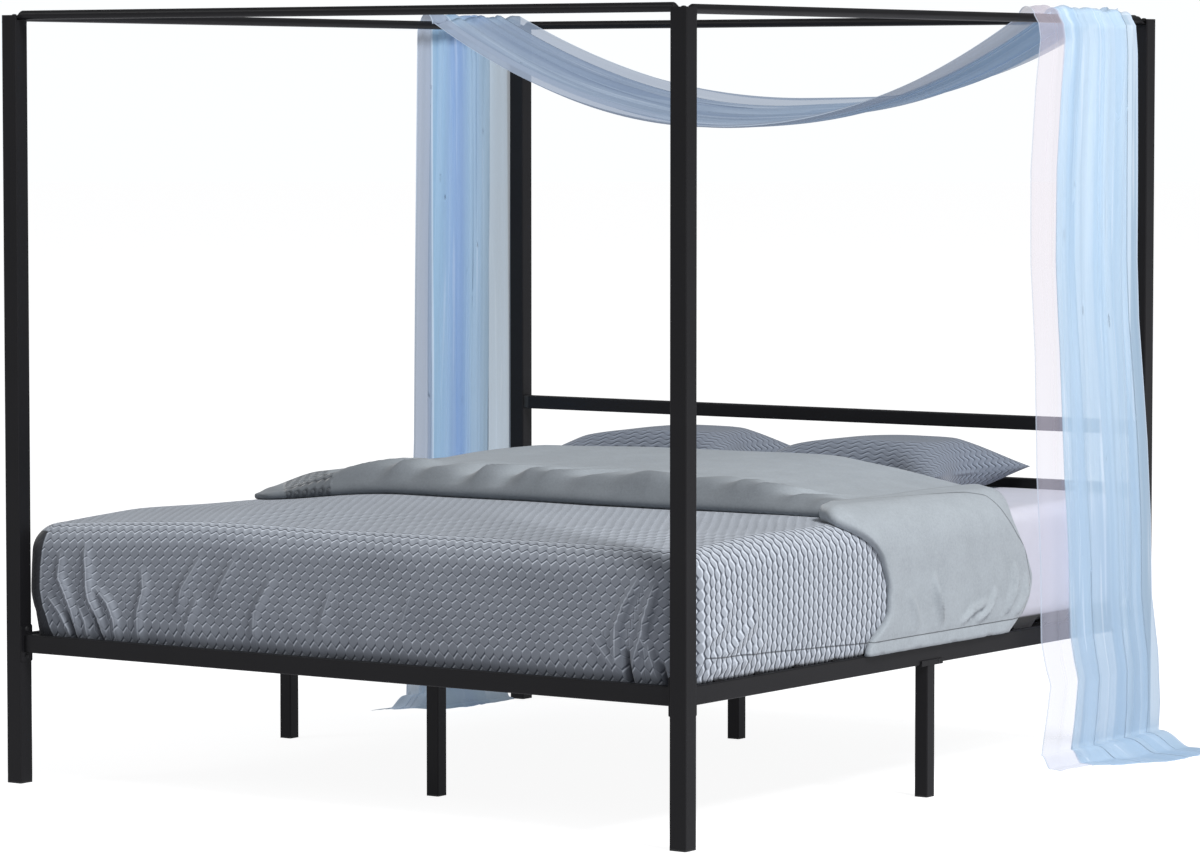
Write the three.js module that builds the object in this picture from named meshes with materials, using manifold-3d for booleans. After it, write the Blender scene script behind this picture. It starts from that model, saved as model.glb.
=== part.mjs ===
// Four poster canopy bed, king size: a bolted steel tube frame with a mattress, bedding and a sheer drape.
// Millimetres, +Z up. +X is the right-hand side seen from the foot of the bed, +Y points to the head.
// The origin is on the floor under the middle of the bed.
import * as THREE from "three";
import { mergeVertices } from "three/addons/utils/BufferGeometryUtils.js";
import { RoundedBoxGeometry } from "three/addons/geometries/RoundedBoxGeometry.js";
import Module from "manifold-3d";

const wasm = await Module();
wasm.setup();

// ---------- Driving dimensions ----------

// The king mattress, which the frame is made to fit
const mattressWidth = 1930;
const mattressLength = 2032;
const mattressHeight = 298;
const mattressEdge = 45;

// The whole frame
const sideMargin = 25; // from the mattress's side to the posts' outer faces
const endClearance = 2.5; // from the mattress's ends to the posts
const postHeight = 1854;

// Fits
const gap = 0.3; // between faces that touch
const boltPlay = 0.3; // round a bolt's shank in its hole
const cornerSteps = 2; // flats in each rounded tube corner

// Posts, of square tube
const postSize = 44;
const postWall = 1.6;
const postCorner = 3.5;

// Glides: plastic plugs under the posts and legs
const glideFlange = 4;
const glideInsert = 22;
const glideTop = glideFlange + gap; // where the tubes begin

// Bed rails, of oblong tube on edge with a plate welded to each end
const railHeight = 44;
const railDepth = 20;
const railWall = 1.5;
const railCorner = 3;
const railTop = 362;
const plateThickness = 3;
const plateWidth = 40;
const plateHeight = 88;
const boltSpread = 33; // rail bolts, above and below the middle of the rail
const railBolt = 7; // bolt diameter
const ventHole = 12; // in each plate, inside the tube

// Canopy rails, of round tube pressed flat at each end
const canopyTube = 22;
const canopyWall = 1.5;
const canopySink = 15; // from the top of the post down to the underside of the side rails
const crimpLength = 18; // from flat tab to round tube
const tabWidth = 32;
const tabPastBolt = 12; // from the bolt to the end of the tab
const upperFlat = 9; // from the bolt to the crimp, foot and head rails
const roundSteps = 16; // flats round the tube
const crimpSteps = 2;

// The joint in the top of each post
const notchClearance = 0.6;
const shelfThickness = 3;
const topBolt = 6; // diameter
const topBoltHead = 12; // diameter
const topBoltHeadHeight = 3;
const nutAcross = 10;
const nutHeight = 6;
const capBelowRim = 0.5;

// Headboard bars, of square tube, plugged onto a bracket at each end
const barSize = 35;
const barWall = 1.5;
const barCorner = 3;
const upperBarMiddle = 822;
const lowerBarMiddle = 661.5;
const bracketLength = 15;
const tongueLength = 22;
const bracketScrew = 5;

// Slats, of downward channel, across the side rails
const slatCount = 12;
const slatMargin = 160.5; // from the middle of the end slats to the ends of the bed
const slatWidth = 36;
const slatDepth = 12;
const slatTopPlate = 2.5;
const slatFlange = 2;
const slatEndInset = 6; // from the side rail's outer face

// Centre beam and support legs, of square tube
const legSize = 35;
const legWall = 1.5;
const legCorner = 3;
const beamPlateWidth = 64;
const beamPlateHeight = 39;
const beamScrew = 5;
const saddleLength = 96;
const saddlePlate = 3;
const saddleLip = 10;
const centreLegMargin = 412.5; // from the centre legs to the ends of the bed

// Bedding
const quiltThickness = 7;
const quiltUnderDuvet = 85; // from the duvet's head end to the quilt's
const quiltTuck = 5; // from the underside of the mattress to the quilt's lower edge
const duvetLength = 770;
const duvetFlapShort = 100; // the flaps at the sides stop this far from the duvet's head end
const duvetLoft = 80;
const duvetShoulder = 28; // loft at the side edges
const duvetSide = 14;
const pillowWidth = 685;
const pillowLength = 460;
const pillowHeight = 132;
const pillowEdge = 56;
const pillowHeadGap = 1; // from the mattress's head end
const pillowDuvetGap = 20;
const pillowSpacing = 10;

// Sheer drape over the side canopy rails, near the head
const drapeThickness = 12; // where it lies over the rail
// The falls' front and back edges, at the rail and at the floor, from the head posts' inner faces
const falls = {
  left: { side: -1, top: [-424, -17], floor: [-444, -17] },
  right: { side: 1, top: [-594, -64], floor: [-514, 36] },
};
const fallThickness = 28; // of the gathered folds that hang
const fallOutside = 2; // from the post's outer face to the folds
const hookDrop = 14; // of the cloth inside the rail
const poolHeight = 34;
const poolOut = 120; // from the post's outer face
const poolUnder = 25;
const poolBack = -14; // from the head posts' inner faces
const swagSag = 235;
const swagWidth = 170; // at the middle
const swagHeight = 72; // at the middle
const swagEndHeight = 16;
const swagSteps = 16;

// ---------- Places that follow from them ----------

const bedWidth = mattressWidth + 2 * sideMargin;
const bedLength = mattressLength + 2 * (endClearance + postSize);
const postX = (bedWidth - postSize) / 2;
const postY = (bedLength - postSize) / 2;
const innerX = postX - postSize / 2; // inner faces of the posts
const innerY = postY - postSize / 2;
const outerX = bedWidth / 2;
const postBore = postSize - 2 * postWall;

const railMiddle = railTop - railHeight / 2;
const railBottom = railTop - railHeight;

const tubeRadius = canopyTube / 2;
const tabThickness = 2 * canopyWall + 0.4;
const lowerTab = postHeight - canopySink; // underside of the side rails and their tabs
const upperTab = lowerTab + tabThickness + gap; // of the foot and head rails
const lowerFlat = tabWidth / 2 + notchClearance; // the side rails stay flat under the upper tabs
const tabsTop = upperTab + tabThickness;
const shelfTop = lowerTab - gap;
const capTop = postHeight - capBelowRim;

const slatUnderside = railTop + gap;
const slatTop = slatUnderside + slatTopPlate;
const beamTop = slatTop - slatDepth - gap;
const beamBottom = beamTop - legSize;

const slatPitch = (bedLength - 2 * slatMargin) / (slatCount - 1);
const centreLegY = bedLength / 2 - centreLegMargin;

const mattressBottom = slatTop + gap;
const mattressTop = mattressBottom + mattressHeight;
const quiltTop = mattressTop + gap + quiltThickness;
const pillowMiddleY = mattressLength / 2 - pillowHeadGap - pillowLength / 2;
const duvetHeadY = pillowMiddleY - pillowLength / 2 - pillowDuvetGap;
const duvetFootY = duvetHeadY - duvetLength;
const duvetFlapY = duvetHeadY - duvetFlapShort;
const quiltHeadY = duvetHeadY - quiltUnderDuvet;

// The corners, in the order of the names; x and y are the side that each stands on
const corners = [
  { name: "foot_right", x: 1, y: -1 },
  { name: "foot_left", x: -1, y: -1 },
  { name: "head_right", x: 1, y: 1 },
  { name: "head_left", x: -1, y: 1 },
];

// ---------- Shapes ----------

// A closed geometry as a solid for cutting and joining
function solid(geometry) {
  const bare = geometry.clone();
  bare.deleteAttribute("normal");
  bare.deleteAttribute("uv");
  const merged = mergeVertices(bare, 1e-4);
  const vertProperties = new Float32Array(merged.attributes.position.array);
  const triVerts = new Uint32Array(merged.index.array);
  return new wasm.Manifold(new wasm.Mesh({ numProp: 3, vertProperties, triVerts }));
}

// A solid as a geometry for a mesh
function geometryOf(body) {
  const mesh = body.getMesh();
  const geometry = new THREE.BufferGeometry();
  geometry.setAttribute("position", new THREE.BufferAttribute(mesh.vertProperties, 3));
  geometry.setIndex(new THREE.BufferAttribute(mesh.triVerts, 1));
  const flat = geometry.toNonIndexed();
  flat.computeVertexNormals();
  return flat;
}

// A box between two corners
function box(low, high) {
  const size = high.map((value, i) => value - low[i]);
  const middle = high.map((value, i) => (value + low[i]) / 2);
  return new THREE.BoxGeometry(...size).translate(...middle);
}

// A cylinder through a point, along "x", "y" or "z"
function rod(diameter, length, axis, middle, steps = 10) {
  const geometry = new THREE.CylinderGeometry(diameter / 2, diameter / 2, length, steps);
  if (axis === "x") geometry.rotateZ(Math.PI / 2);
  if (axis === "z") geometry.rotateX(Math.PI / 2);
  return geometry.translate(...middle);
}

// An oblong outline with round corners, centred
function oblong(width, height, radius, Kind = THREE.Shape) {
  const x = width / 2;
  const y = height / 2;
  const outline = new Kind();
  outline.moveTo(x, radius - y);
  outline.lineTo(x, y - radius);
  outline.absarc(x - radius, y - radius, radius, 0, Math.PI / 2);
  outline.lineTo(radius - x, y);
  outline.absarc(radius - x, y - radius, radius, Math.PI / 2, Math.PI);
  outline.lineTo(-x, radius - y);
  outline.absarc(radius - x, radius - y, radius, Math.PI, 1.5 * Math.PI);
  outline.lineTo(x - radius, -y);
  outline.absarc(x - radius, radius - y, radius, 1.5 * Math.PI, 2 * Math.PI);
  return outline;
}

// Turns an extrusion so that it runs along "x", "y" or "z"; the outline's height stays up for "x" and "y"
function turned(geometry, axis) {
  const X = new THREE.Vector3(1, 0, 0);
  const Y = new THREE.Vector3(0, 1, 0);
  const Z = new THREE.Vector3(0, 0, 1);
  const turn = new THREE.Matrix4();
  if (axis === "x") turn.makeBasis(Y, Z, X);
  if (axis === "y") turn.makeBasis(X.negate(), Z, Y);
  return geometry.applyMatrix4(turn);
}

// A straight length of oblong tube, or of bar where wall is 0, with its middle at a point
function tube(width, height, wall, radius, length, axis, middle) {
  const outline = oblong(width, height, radius);
  if (wall > 0) {
    const inside = Math.max(radius - wall, 0.2);
    outline.holes.push(oblong(width - 2 * wall, height - 2 * wall, inside, THREE.Path));
  }
  const geometry = new THREE.ExtrudeGeometry(outline, {
    depth: length,
    bevelEnabled: false,
    curveSegments: cornerSteps,
  });
  geometry.translate(0, 0, -length / 2);
  return turned(geometry, axis).translate(...middle);
}

// A skin over rings of points, each ring with as many points as the next: the walls and the two ends
function skin(rings, bore = null) {
  const points = [];
  const faces = [];
  const count = rings[0].length;
  const walls = bore ? [rings, bore] : [rings];
  const ringStart = (wall, ring) => (wall * rings.length + ring) * count;
  walls.flat(2).forEach((point) => points.push(...point));
  walls.forEach((wall, side) => {
    for (let ring = 0; ring + 1 < rings.length; ring++) {
      for (let i = 0; i < count; i++) {
        const a = ringStart(side, ring) + i;
        const b = ringStart(side, ring) + ((i + 1) % count);
        const c = a + count;
        const d = b + count;
        if (side) faces.push(a, c, b, b, c, d);
        else faces.push(a, b, c, b, d, c);
      }
    }
  });
  const last = rings.length - 1;
  for (let i = 0; i < count; i++) {
    const j = (i + 1) % count;
    if (bore) {
      faces.push(i, ringStart(1, 0) + i, j, j, ringStart(1, 0) + i, ringStart(1, 0) + j);
      const near = ringStart(0, last);
      const far = ringStart(1, last);
      faces.push(near + i, near + j, far + i, near + j, far + j, far + i);
    } else if (i > 0 && j > 0) {
      faces.push(0, j, i);
      faces.push(last * count, last * count + i, last * count + j);
    }
  }
  const geometry = new THREE.BufferGeometry();
  geometry.setAttribute("position", new THREE.Float32BufferAttribute(points, 3));
  geometry.setIndex(faces);
  const flat = geometry.toNonIndexed();
  flat.computeVertexNormals();
  return flat;
}

// ---------- The group ----------

const bed = new THREE.Group();

function addMesh(group, name, geometry, finish) {
  const mesh = new THREE.Mesh(geometry, new THREE.MeshStandardMaterial(finish));
  mesh.name = name;
  group.add(mesh);
  return mesh;
}

function addGroup() {
  const group = new THREE.Group();
  bed.add(group);
  return group;
}

const powderCoat = { color: 0x242427, roughness: 0.45, metalness: 0.35 };
const blackPlastic = { color: 0x151516, roughness: 0.55, metalness: 0 };
const blackBolt = { color: 0x2e2e31, roughness: 0.35, metalness: 0.8 };

// ---------- Posts: tube, glide, cap block and bolt ----------

const posts = addGroup();

// Notch, in the rim of a post, for the flattened end of a canopy rail that comes in along "x" or "y"
function notch(corner, axis, underside) {
  const half = tabWidth / 2 + notchClearance;
  const x = corner.x * postX;
  const y = corner.y * postY;
  const inward = axis === "x" ? -corner.x : -corner.y;
  const near = inward * (postBore / 2 - 1);
  const far = inward * (postSize / 2 + 1);
  const span = [Math.min(near, far), Math.max(near, far)];
  if (axis === "x") return box([x + span[0], y - half, underside], [x + span[1], y + half, postHeight + 1]);
  return box([x - half, y + span[0], underside], [x + half, y + span[1], postHeight + 1]);
}

// Bolt holes through the inner wall of a post, for the rail that meets it along "x" or "y"
function railBoltHoles(corner, axis) {
  return [-boltSpread, boltSpread].map((side) => {
    const middle = [corner.x * postX, corner.y * postY, railMiddle + side];
    if (axis === "x") middle[0] -= (corner.x * postSize) / 2;
    else middle[1] -= (corner.y * postSize) / 2;
    return rod(railBolt + 2 * boltPlay, 4 * postWall, axis, middle);
  });
}

function post(corner) {
  const x = corner.x * postX;
  const y = corner.y * postY;
  const length = postHeight - glideTop;
  const middle = [x, y, glideTop + length / 2];
  const half = postBore / 2 + postWall / 2;
  const shelf = box([x - half, y - half, shelfTop - shelfThickness], [x + half, y + half, shelfTop]);
  const nutMiddle = shelfTop - shelfThickness - nutHeight / 2 + 0.5;
  const nut = rod(nutAcross / Math.cos(Math.PI / 6), nutHeight, "z", [x, y, nutMiddle], 6);
  const boltHole = rod(topBolt + 2 * boltPlay, 60, "z", [x, y, shelfTop]);
  let body = solid(tube(postSize, postSize, postWall, postCorner, length, "z", middle));
  body = body.add(solid(shelf)).add(solid(nut)).subtract(solid(boltHole));
  body = body.subtract(solid(notch(corner, "x", upperTab - gap)));
  body = body.subtract(solid(notch(corner, "y", lowerTab - gap)));
  for (const hole of [...railBoltHoles(corner, "x"), ...railBoltHoles(corner, "y")]) {
    body = body.subtract(solid(hole));
  }
  return geometryOf(body);
}

// A plug with a flange, in the bottom of a square tube
function glide(size, wall, radius, x, y) {
  const flange = tube(size, size, 0, radius, glideFlange, "z", [x, y, glideFlange / 2]);
  const insertSize = size - 2 * wall - 2 * gap;
  const insertMiddle = glideFlange + glideInsert / 2 - 0.5;
  const insert = tube(insertSize, insertSize, 0, 2, glideInsert + 1, "z", [x, y, insertMiddle]);
  return geometryOf(solid(flange).add(solid(insert)));
}

// The room that a crimped canopy rail end takes over its tab, as a wedge that opens towards the bed
function crimpRoom(corner, axis, flat, tabTop) {
  const inward = axis === "x" ? -corner.x : -corner.y;
  const start = flat - gap;
  const rise = (canopyTube - tabThickness) / crimpLength;
  const reach = postSize;
  const outline = new THREE.Shape();
  outline.moveTo(start - 2, tabTop - tabThickness);
  outline.lineTo(reach, tabTop - tabThickness);
  outline.lineTo(reach, tabTop + rise * (reach - start) + 2);
  outline.lineTo(start - 2, tabTop + notchClearance);
  const width = tabWidth + 2 * notchClearance;
  const wedge = new THREE.ExtrudeGeometry(outline, { depth: width, bevelEnabled: false });
  wedge.translate(0, 0, -width / 2);
  wedge.rotateX(Math.PI / 2);
  const heading = { x: inward > 0 ? 0 : Math.PI, y: inward > 0 ? Math.PI / 2 : -Math.PI / 2 };
  return wedge.rotateZ(heading[axis]).translate(corner.x * postX, corner.y * postY, 0);
}

function capBlock(corner) {
  const x = corner.x * postX;
  const y = corner.y * postY;
  const size = postBore - 2 * gap;
  const height = capTop - tabsTop - gap;
  const block = tube(size, size, 0, 1.5, height, "z", [x, y, capTop - height / 2]);
  const hole = rod(topBolt + 2 * boltPlay, 40, "z", [x, y, capTop]);
  let body = solid(block).subtract(solid(hole));
  body = body.subtract(solid(crimpRoom(corner, "x", upperFlat, tabsTop)));
  body = body.subtract(solid(crimpRoom(corner, "y", lowerFlat, upperTab - gap)));
  // the sliver between the two rails is left off
  const pieces = body.decompose().sort((a, b) => b.volume() - a.volume());
  return geometryOf(pieces[0]);
}

// A low domed head on a shank that runs down through cap block, tabs and shelf into the nut
function capBolt(corner) {
  const headBase = capTop + gap;
  const shankBottom = shelfTop - shelfThickness - nutHeight;
  const profile = [
    new THREE.Vector2(0, shankBottom),
    new THREE.Vector2(topBolt / 2, shankBottom),
    new THREE.Vector2(topBolt / 2, headBase),
    new THREE.Vector2(topBoltHead / 2, headBase),
    new THREE.Vector2(topBoltHead / 2, headBase + topBoltHeadHeight / 3),
    new THREE.Vector2(topBoltHead / 3, headBase + topBoltHeadHeight * 0.85),
    new THREE.Vector2(0, headBase + topBoltHeadHeight),
  ];
  const bolt = new THREE.LatheGeometry(profile, 12);
  bolt.rotateX(Math.PI / 2);
  return bolt.translate(corner.x * postX, corner.y * postY, 0);
}

for (const corner of corners) {
  addMesh(posts, `post_${corner.name}`, post(corner), powderCoat);
  const plug = glide(postSize, postWall, postCorner, corner.x * postX, corner.y * postY);
  addMesh(posts, `post_glide_${corner.name}`, plug, blackPlastic);
  addMesh(posts, `cap_block_${corner.name}`, capBlock(corner), blackPlastic);
  addMesh(posts, `cap_bolt_${corner.name}`, capBolt(corner), blackBolt);
}

// ---------- Canopy rails ----------

const canopy = addGroup();

// One ring of a canopy rail's outer or inner wall: round at flat = 0, a thin tab at flat = 1
function canopyRing(along, flat, inset, underside) {
  const ring = [];
  const radius = tubeRadius - inset;
  const tabHalf = tabWidth / 2 - inset;
  const tabHeight = tabThickness - 2 * inset;
  for (let i = 0; i < roundSteps; i++) {
    const angle = (2 * Math.PI * (i + 0.5)) / roundSteps;
    const across = Math.cos(angle);
    const up = Math.sin(angle);
    const roundUp = tubeRadius + radius * up;
    const tabUp = inset + (tabHeight * (1 + Math.sign(up) * Math.min(1, 1.5 * Math.abs(up)))) / 2;
    const width = THREE.MathUtils.lerp(radius * across, tabHalf * across, flat);
    ring.push([along, width, underside + THREE.MathUtils.lerp(roundUp, tabUp, flat)]);
  }
  return ring;
}

// A rail along X between two posts whose axes are span apart, flat for a length from each bolt
function canopyRail(span, underside, flatLength) {
  const boltAt = span / 2;
  const crimpEnd = boltAt - flatLength;
  const stations = [{ along: boltAt + tabPastBolt, flat: 1 }];
  for (let i = 0; i <= crimpSteps; i++) {
    const flat = 1 - i / crimpSteps;
    stations.push({ along: crimpEnd - (crimpLength * i) / crimpSteps, flat });
  }
  const mirrored = stations.map(({ along, flat }) => ({ along: -along, flat }));
  const all = [...mirrored, ...stations.reverse()];
  const outer = all.map(({ along, flat }) => canopyRing(along, flat, 0, underside));
  const inner = all.map(({ along, flat }) => canopyRing(along, flat, canopyWall, underside));
  let body = solid(skin(outer, inner));
  for (const side of [-1, 1]) {
    const middle = [side * boltAt, 0, underside + tabThickness / 2];
    body = body.subtract(solid(rod(topBolt + 2 * boltPlay, 4 * tabThickness, "z", middle)));
  }
  return geometryOf(body);
}

for (const [name, side] of [["foot", -1], ["head", 1]]) {
  const rail = addMesh(canopy, `canopy_rail_${name}`, canopyRail(2 * postX, upperTab, upperFlat), powderCoat);
  rail.position.y = side * postY;
}
for (const [name, side] of [["left", -1], ["right", 1]]) {
  const rail = addMesh(canopy, `canopy_rail_${name}`, canopyRail(2 * postY, lowerTab, lowerFlat), powderCoat);
  rail.rotation.z = Math.PI / 2;
  rail.position.x = side * postX;
}

// ---------- Bed rails ----------

const bedRails = addGroup();

// A rail along X between faces that are clear apart, with a bolted plate welded to each end
function bedRail(clear) {
  const length = clear - 2 * gap - 2 * plateThickness + 2;
  let body = solid(tube(railDepth, railHeight, railWall, railCorner, length, "x", [0, 0, railMiddle]));
  for (const side of [-1, 1]) {
    const face = side * (clear / 2 - gap - plateThickness / 2);
    const plate = tube(plateWidth, plateHeight, 0, 4, plateThickness, "x", [face, 0, railMiddle]);
    body = body.add(solid(plate));
    for (const bolt of [-boltSpread, boltSpread]) {
      const hole = rod(railBolt + 2 * boltPlay, 20, "x", [face, 0, railMiddle + bolt]);
      body = body.subtract(solid(hole));
    }
    body = body.subtract(solid(rod(ventHole, 20, "x", [face, 0, railMiddle])));
  }
  return geometryOf(body);
}

for (const [name, side] of [["foot_rail", -1], ["head_rail", 1]]) {
  addMesh(bedRails, name, bedRail(2 * innerX), powderCoat).position.y = side * postY;
}
for (const [name, side] of [["side_rail_left", -1], ["side_rail_right", 1]]) {
  const rail = addMesh(bedRails, name, bedRail(2 * innerY), powderCoat);
  rail.rotation.z = Math.PI / 2;
  rail.position.x = side * postX;
}

// ---------- Headboard: two bars and their brackets ----------

const headboard = addGroup();

function headboardBar(middle) {
  const length = 2 * (innerX - bracketLength - 2 * gap);
  return tube(barSize, barSize, barWall, barCorner, length, "x", [0, postY, middle]);
}

// A block against the post, with a tongue inside the bar and a screw hole through both
function headboardBracket(side, middle) {
  const face = innerX - gap;
  const blockMiddle = side * (face - bracketLength / 2);
  const block = tube(barSize, barSize, 0, barCorner, bracketLength, "x", [blockMiddle, postY, middle]);
  const tongueMiddle = side * (face - bracketLength - tongueLength / 2 + 1);
  const tongueSize = barSize - 2 * barWall - 2 * gap;
  const place = [tongueMiddle, postY, middle];
  const tongue = tube(tongueSize, tongueSize, 0, 2, tongueLength + 2, "x", place);
  const hole = rod(bracketScrew + 2 * boltPlay, 4 * tongueLength, "x", place);
  return geometryOf(solid(block).add(solid(tongue)).subtract(solid(hole)));
}

for (const [level, middle] of [["upper", upperBarMiddle], ["lower", lowerBarMiddle]]) {
  addMesh(headboard, `headboard_bar_${level}`, headboardBar(middle), powderCoat);
  for (const [name, side] of [["left", -1], ["right", 1]]) {
    const bracket = headboardBracket(side, middle);
    addMesh(headboard, `headboard_bracket_${level}_${name}`, bracket, blackPlastic);
  }
}

// ---------- Mattress support: slats, centre beam and legs ----------

const support = addGroup();

// A slat along X: its top plate lies on the side rails and its flanges hang between them
function slat() {
  const halfLength = postX + railDepth / 2 - slatEndInset;
  const halfClear = postX - railDepth / 2 - 2;
  const halfWidth = slatWidth / 2;
  const bottom = slatTop - slatDepth;
  let body = solid(box([-halfLength, -halfWidth, slatUnderside], [halfLength, halfWidth, slatTop]));
  for (const [near, far] of [[-halfWidth, slatFlange - halfWidth], [halfWidth - slatFlange, halfWidth]]) {
    body = body.add(solid(box([-halfClear, near, bottom], [halfClear, far, slatTop])));
  }
  return geometryOf(body);
}

for (let i = 0; i < slatCount; i++) {
  const number = String(i + 1).padStart(2, "0");
  const y = (i - (slatCount - 1) / 2) * slatPitch;
  addMesh(support, `slat_${number}`, slat(), powderCoat).position.y = y;
}

// The beam runs between the foot rail and the head rail, with a screwed plate welded to each end
function centreBeam() {
  const reach = postY - railDepth / 2 - gap;
  const middle = (beamTop + beamBottom) / 2;
  const length = 2 * (reach - plateThickness) + 2;
  let body = solid(tube(legSize, legSize, legWall, legCorner, length, "y", [0, 0, middle]));
  for (const side of [-1, 1]) {
    const y = side * (reach - plateThickness / 2);
    const plate = tube(beamPlateWidth, beamPlateHeight, 0, 3, plateThickness, "y", [0, y, middle]);
    body = body.add(solid(plate));
    body = body.subtract(solid(rod(ventHole, 20, "y", [0, y, middle])));
    for (const screw of [-1, 1]) {
      const x = (screw * (beamPlateWidth + legSize)) / 4;
      body = body.subtract(solid(rod(beamScrew + 2 * boltPlay, 20, "y", [x, y, middle])));
    }
  }
  return geometryOf(body);
}

addMesh(support, "centre_beam", centreBeam(), powderCoat);

// A leg with a saddle on top: a plate under the rail, with a lip up each side of it
function supportLeg({ x, y, railX, railWidth, underside }) {
  const saddleTop = underside - gap;
  const saddleBottom = saddleTop - saddlePlate;
  const length = saddleBottom - glideTop + 1;
  const lipNear = railWidth / 2 + gap;
  const lipFar = lipNear + saddlePlate;
  const low = Math.min(railX - lipFar, x - legSize / 2);
  const high = Math.max(railX + lipFar, x + legSize / 2);
  const ends = saddleLength / 2;
  let body = solid(tube(legSize, legSize, legWall, legCorner, length, "z", [x, y, glideTop + length / 2]));
  body = body.add(solid(box([low, y - ends, saddleBottom], [high, y + ends, saddleTop])));
  for (const [near, far] of [[-lipFar, -lipNear], [lipNear, lipFar]]) {
    const lip = box([railX + near, y - ends, saddleBottom], [railX + far, y + ends, saddleTop + saddleLip]);
    body = body.add(solid(lip));
  }
  return geometryOf(body);
}

const sideLegX = postX + railDepth / 2 - legSize / 2; // outer faces flush with the rails
const sideRail = { railWidth: railDepth, underside: railBottom };
const beam = { railX: 0, railWidth: legSize, underside: beamBottom };
const legs = [
  { name: "side_left", x: -sideLegX, y: 0, railX: -postX, ...sideRail },
  { name: "side_right", x: sideLegX, y: 0, railX: postX, ...sideRail },
  { name: "centre_foot", x: 0, y: -centreLegY, ...beam },
  { name: "centre_head", x: 0, y: centreLegY, ...beam },
];
for (const leg of legs) {
  addMesh(support, `leg_${leg.name}`, supportLeg(leg), powderCoat);
  const plug = glide(legSize, legWall, legCorner, leg.x, leg.y);
  addMesh(support, `leg_glide_${leg.name}`, plug, blackPlastic);
}

// ---------- Bedding ----------

const bedding = addGroup();

const sheetWhite = { color: 0xd8d8e0, roughness: 0.9, metalness: 0 };
const quiltBlue = { color: 0x7f8897, roughness: 0.95, metalness: 0 };
const duvetBlue = { color: 0x8a929c, roughness: 0.95, metalness: 0 };

// The mattress, grown on every side
function mattressBlock(grown) {
  const size = [mattressWidth + 2 * grown, mattressLength + 2 * grown, mattressHeight + 2 * grown];
  const block = new RoundedBoxGeometry(...size, 3, mattressEdge + grown);
  return block.translate(0, 0, mattressBottom + mattressHeight / 2);
}

// The quilt lies over the top and hangs down both sides and the foot end
function quilt() {
  const far = 2 * bedLength;
  const outer = solid(mattressBlock(gap + quiltThickness));
  const kept = box([-far, -far, mattressBottom + quiltTuck], [far, quiltHeadY, far]);
  return geometryOf(outer.intersect(solid(kept)).subtract(solid(mattressBlock(gap))));
}

// The folded duvet, crowned on top, with a flap that hangs down each side
function duvet() {
  const side = mattressWidth / 2 + 2 * gap + quiltThickness + duvetSide;
  const bottom = mattressBottom + 2 * quiltTuck;
  const shoulder = quiltTop + duvetShoulder;
  const crown = quiltTop + duvetLoft;
  const bend = duvetShoulder + duvetSide;
  const outline = new THREE.Shape();
  outline.moveTo(-side, bottom);
  outline.lineTo(side, bottom);
  outline.lineTo(side, shoulder - bend);
  outline.quadraticCurveTo(side, shoulder, side - bend, shoulder);
  outline.quadraticCurveTo(side / 2, crown, 0, crown);
  outline.quadraticCurveTo(-side / 2, crown, bend - side, shoulder);
  outline.quadraticCurveTo(-side, shoulder, -side, shoulder - bend);
  const depth = duvetHeadY - duvetFootY;
  const block = new THREE.ExtrudeGeometry(outline, { depth, bevelEnabled: false, curveSegments: 8 });
  block.rotateX(Math.PI / 2).translate(0, duvetHeadY, 0);
  let body = solid(block).subtract(solid(mattressBlock(2 * gap + quiltThickness)));
  const inner = side - duvetSide;
  const under = [mattressBottom + mattressEdge, quiltTop - mattressEdge];
  body = body.subtract(solid(box([-inner, -bedLength, 0], [inner, bedLength, under[0]])));
  for (const [low, high] of [[-side - 1, -inner], [inner, side + 1]]) {
    body = body.subtract(solid(box([low, duvetFlapY, 0], [high, bedLength, under[1]])));
  }
  return geometryOf(body);
}

addMesh(bedding, "mattress", mattressBlock(0), sheetWhite);
addMesh(bedding, "quilt", quilt(), quiltBlue);
addMesh(bedding, "duvet", duvet(), duvetBlue);
for (const [name, side] of [["left", -1], ["right", 1]]) {
  const pillow = new RoundedBoxGeometry(pillowWidth, pillowLength, pillowHeight, 3, pillowEdge);
  const mesh = addMesh(bedding, `pillow_${name}`, pillow, quiltBlue);
  const x = (side * (pillowWidth + pillowSpacing)) / 2;
  mesh.position.set(x, pillowMiddleY, mattressTop + gap + pillowHeight / 2);
}

// ---------- Sheer drape: two falls and the swag between them ----------

const drape = addGroup();
const drapeBlue = { color: 0xb7cde6, roughness: 0.8, metalness: 0 };
const canopyAxis = lowerTab + tubeRadius; // height of the side canopy rails' axes

// An outline in the Y-Z plane as a slab between two places along X
function facingX(outline, from, to) {
  const geometry = new THREE.ExtrudeGeometry(outline, { depth: to - from, bevelEnabled: false });
  const turn = new THREE.Matrix4().makeBasis(
    new THREE.Vector3(0, 1, 0),
    new THREE.Vector3(0, 0, 1),
    new THREE.Vector3(1, 0, 0),
  );
  return geometry.applyMatrix4(turn).translate(from, 0, 0);
}

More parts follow.
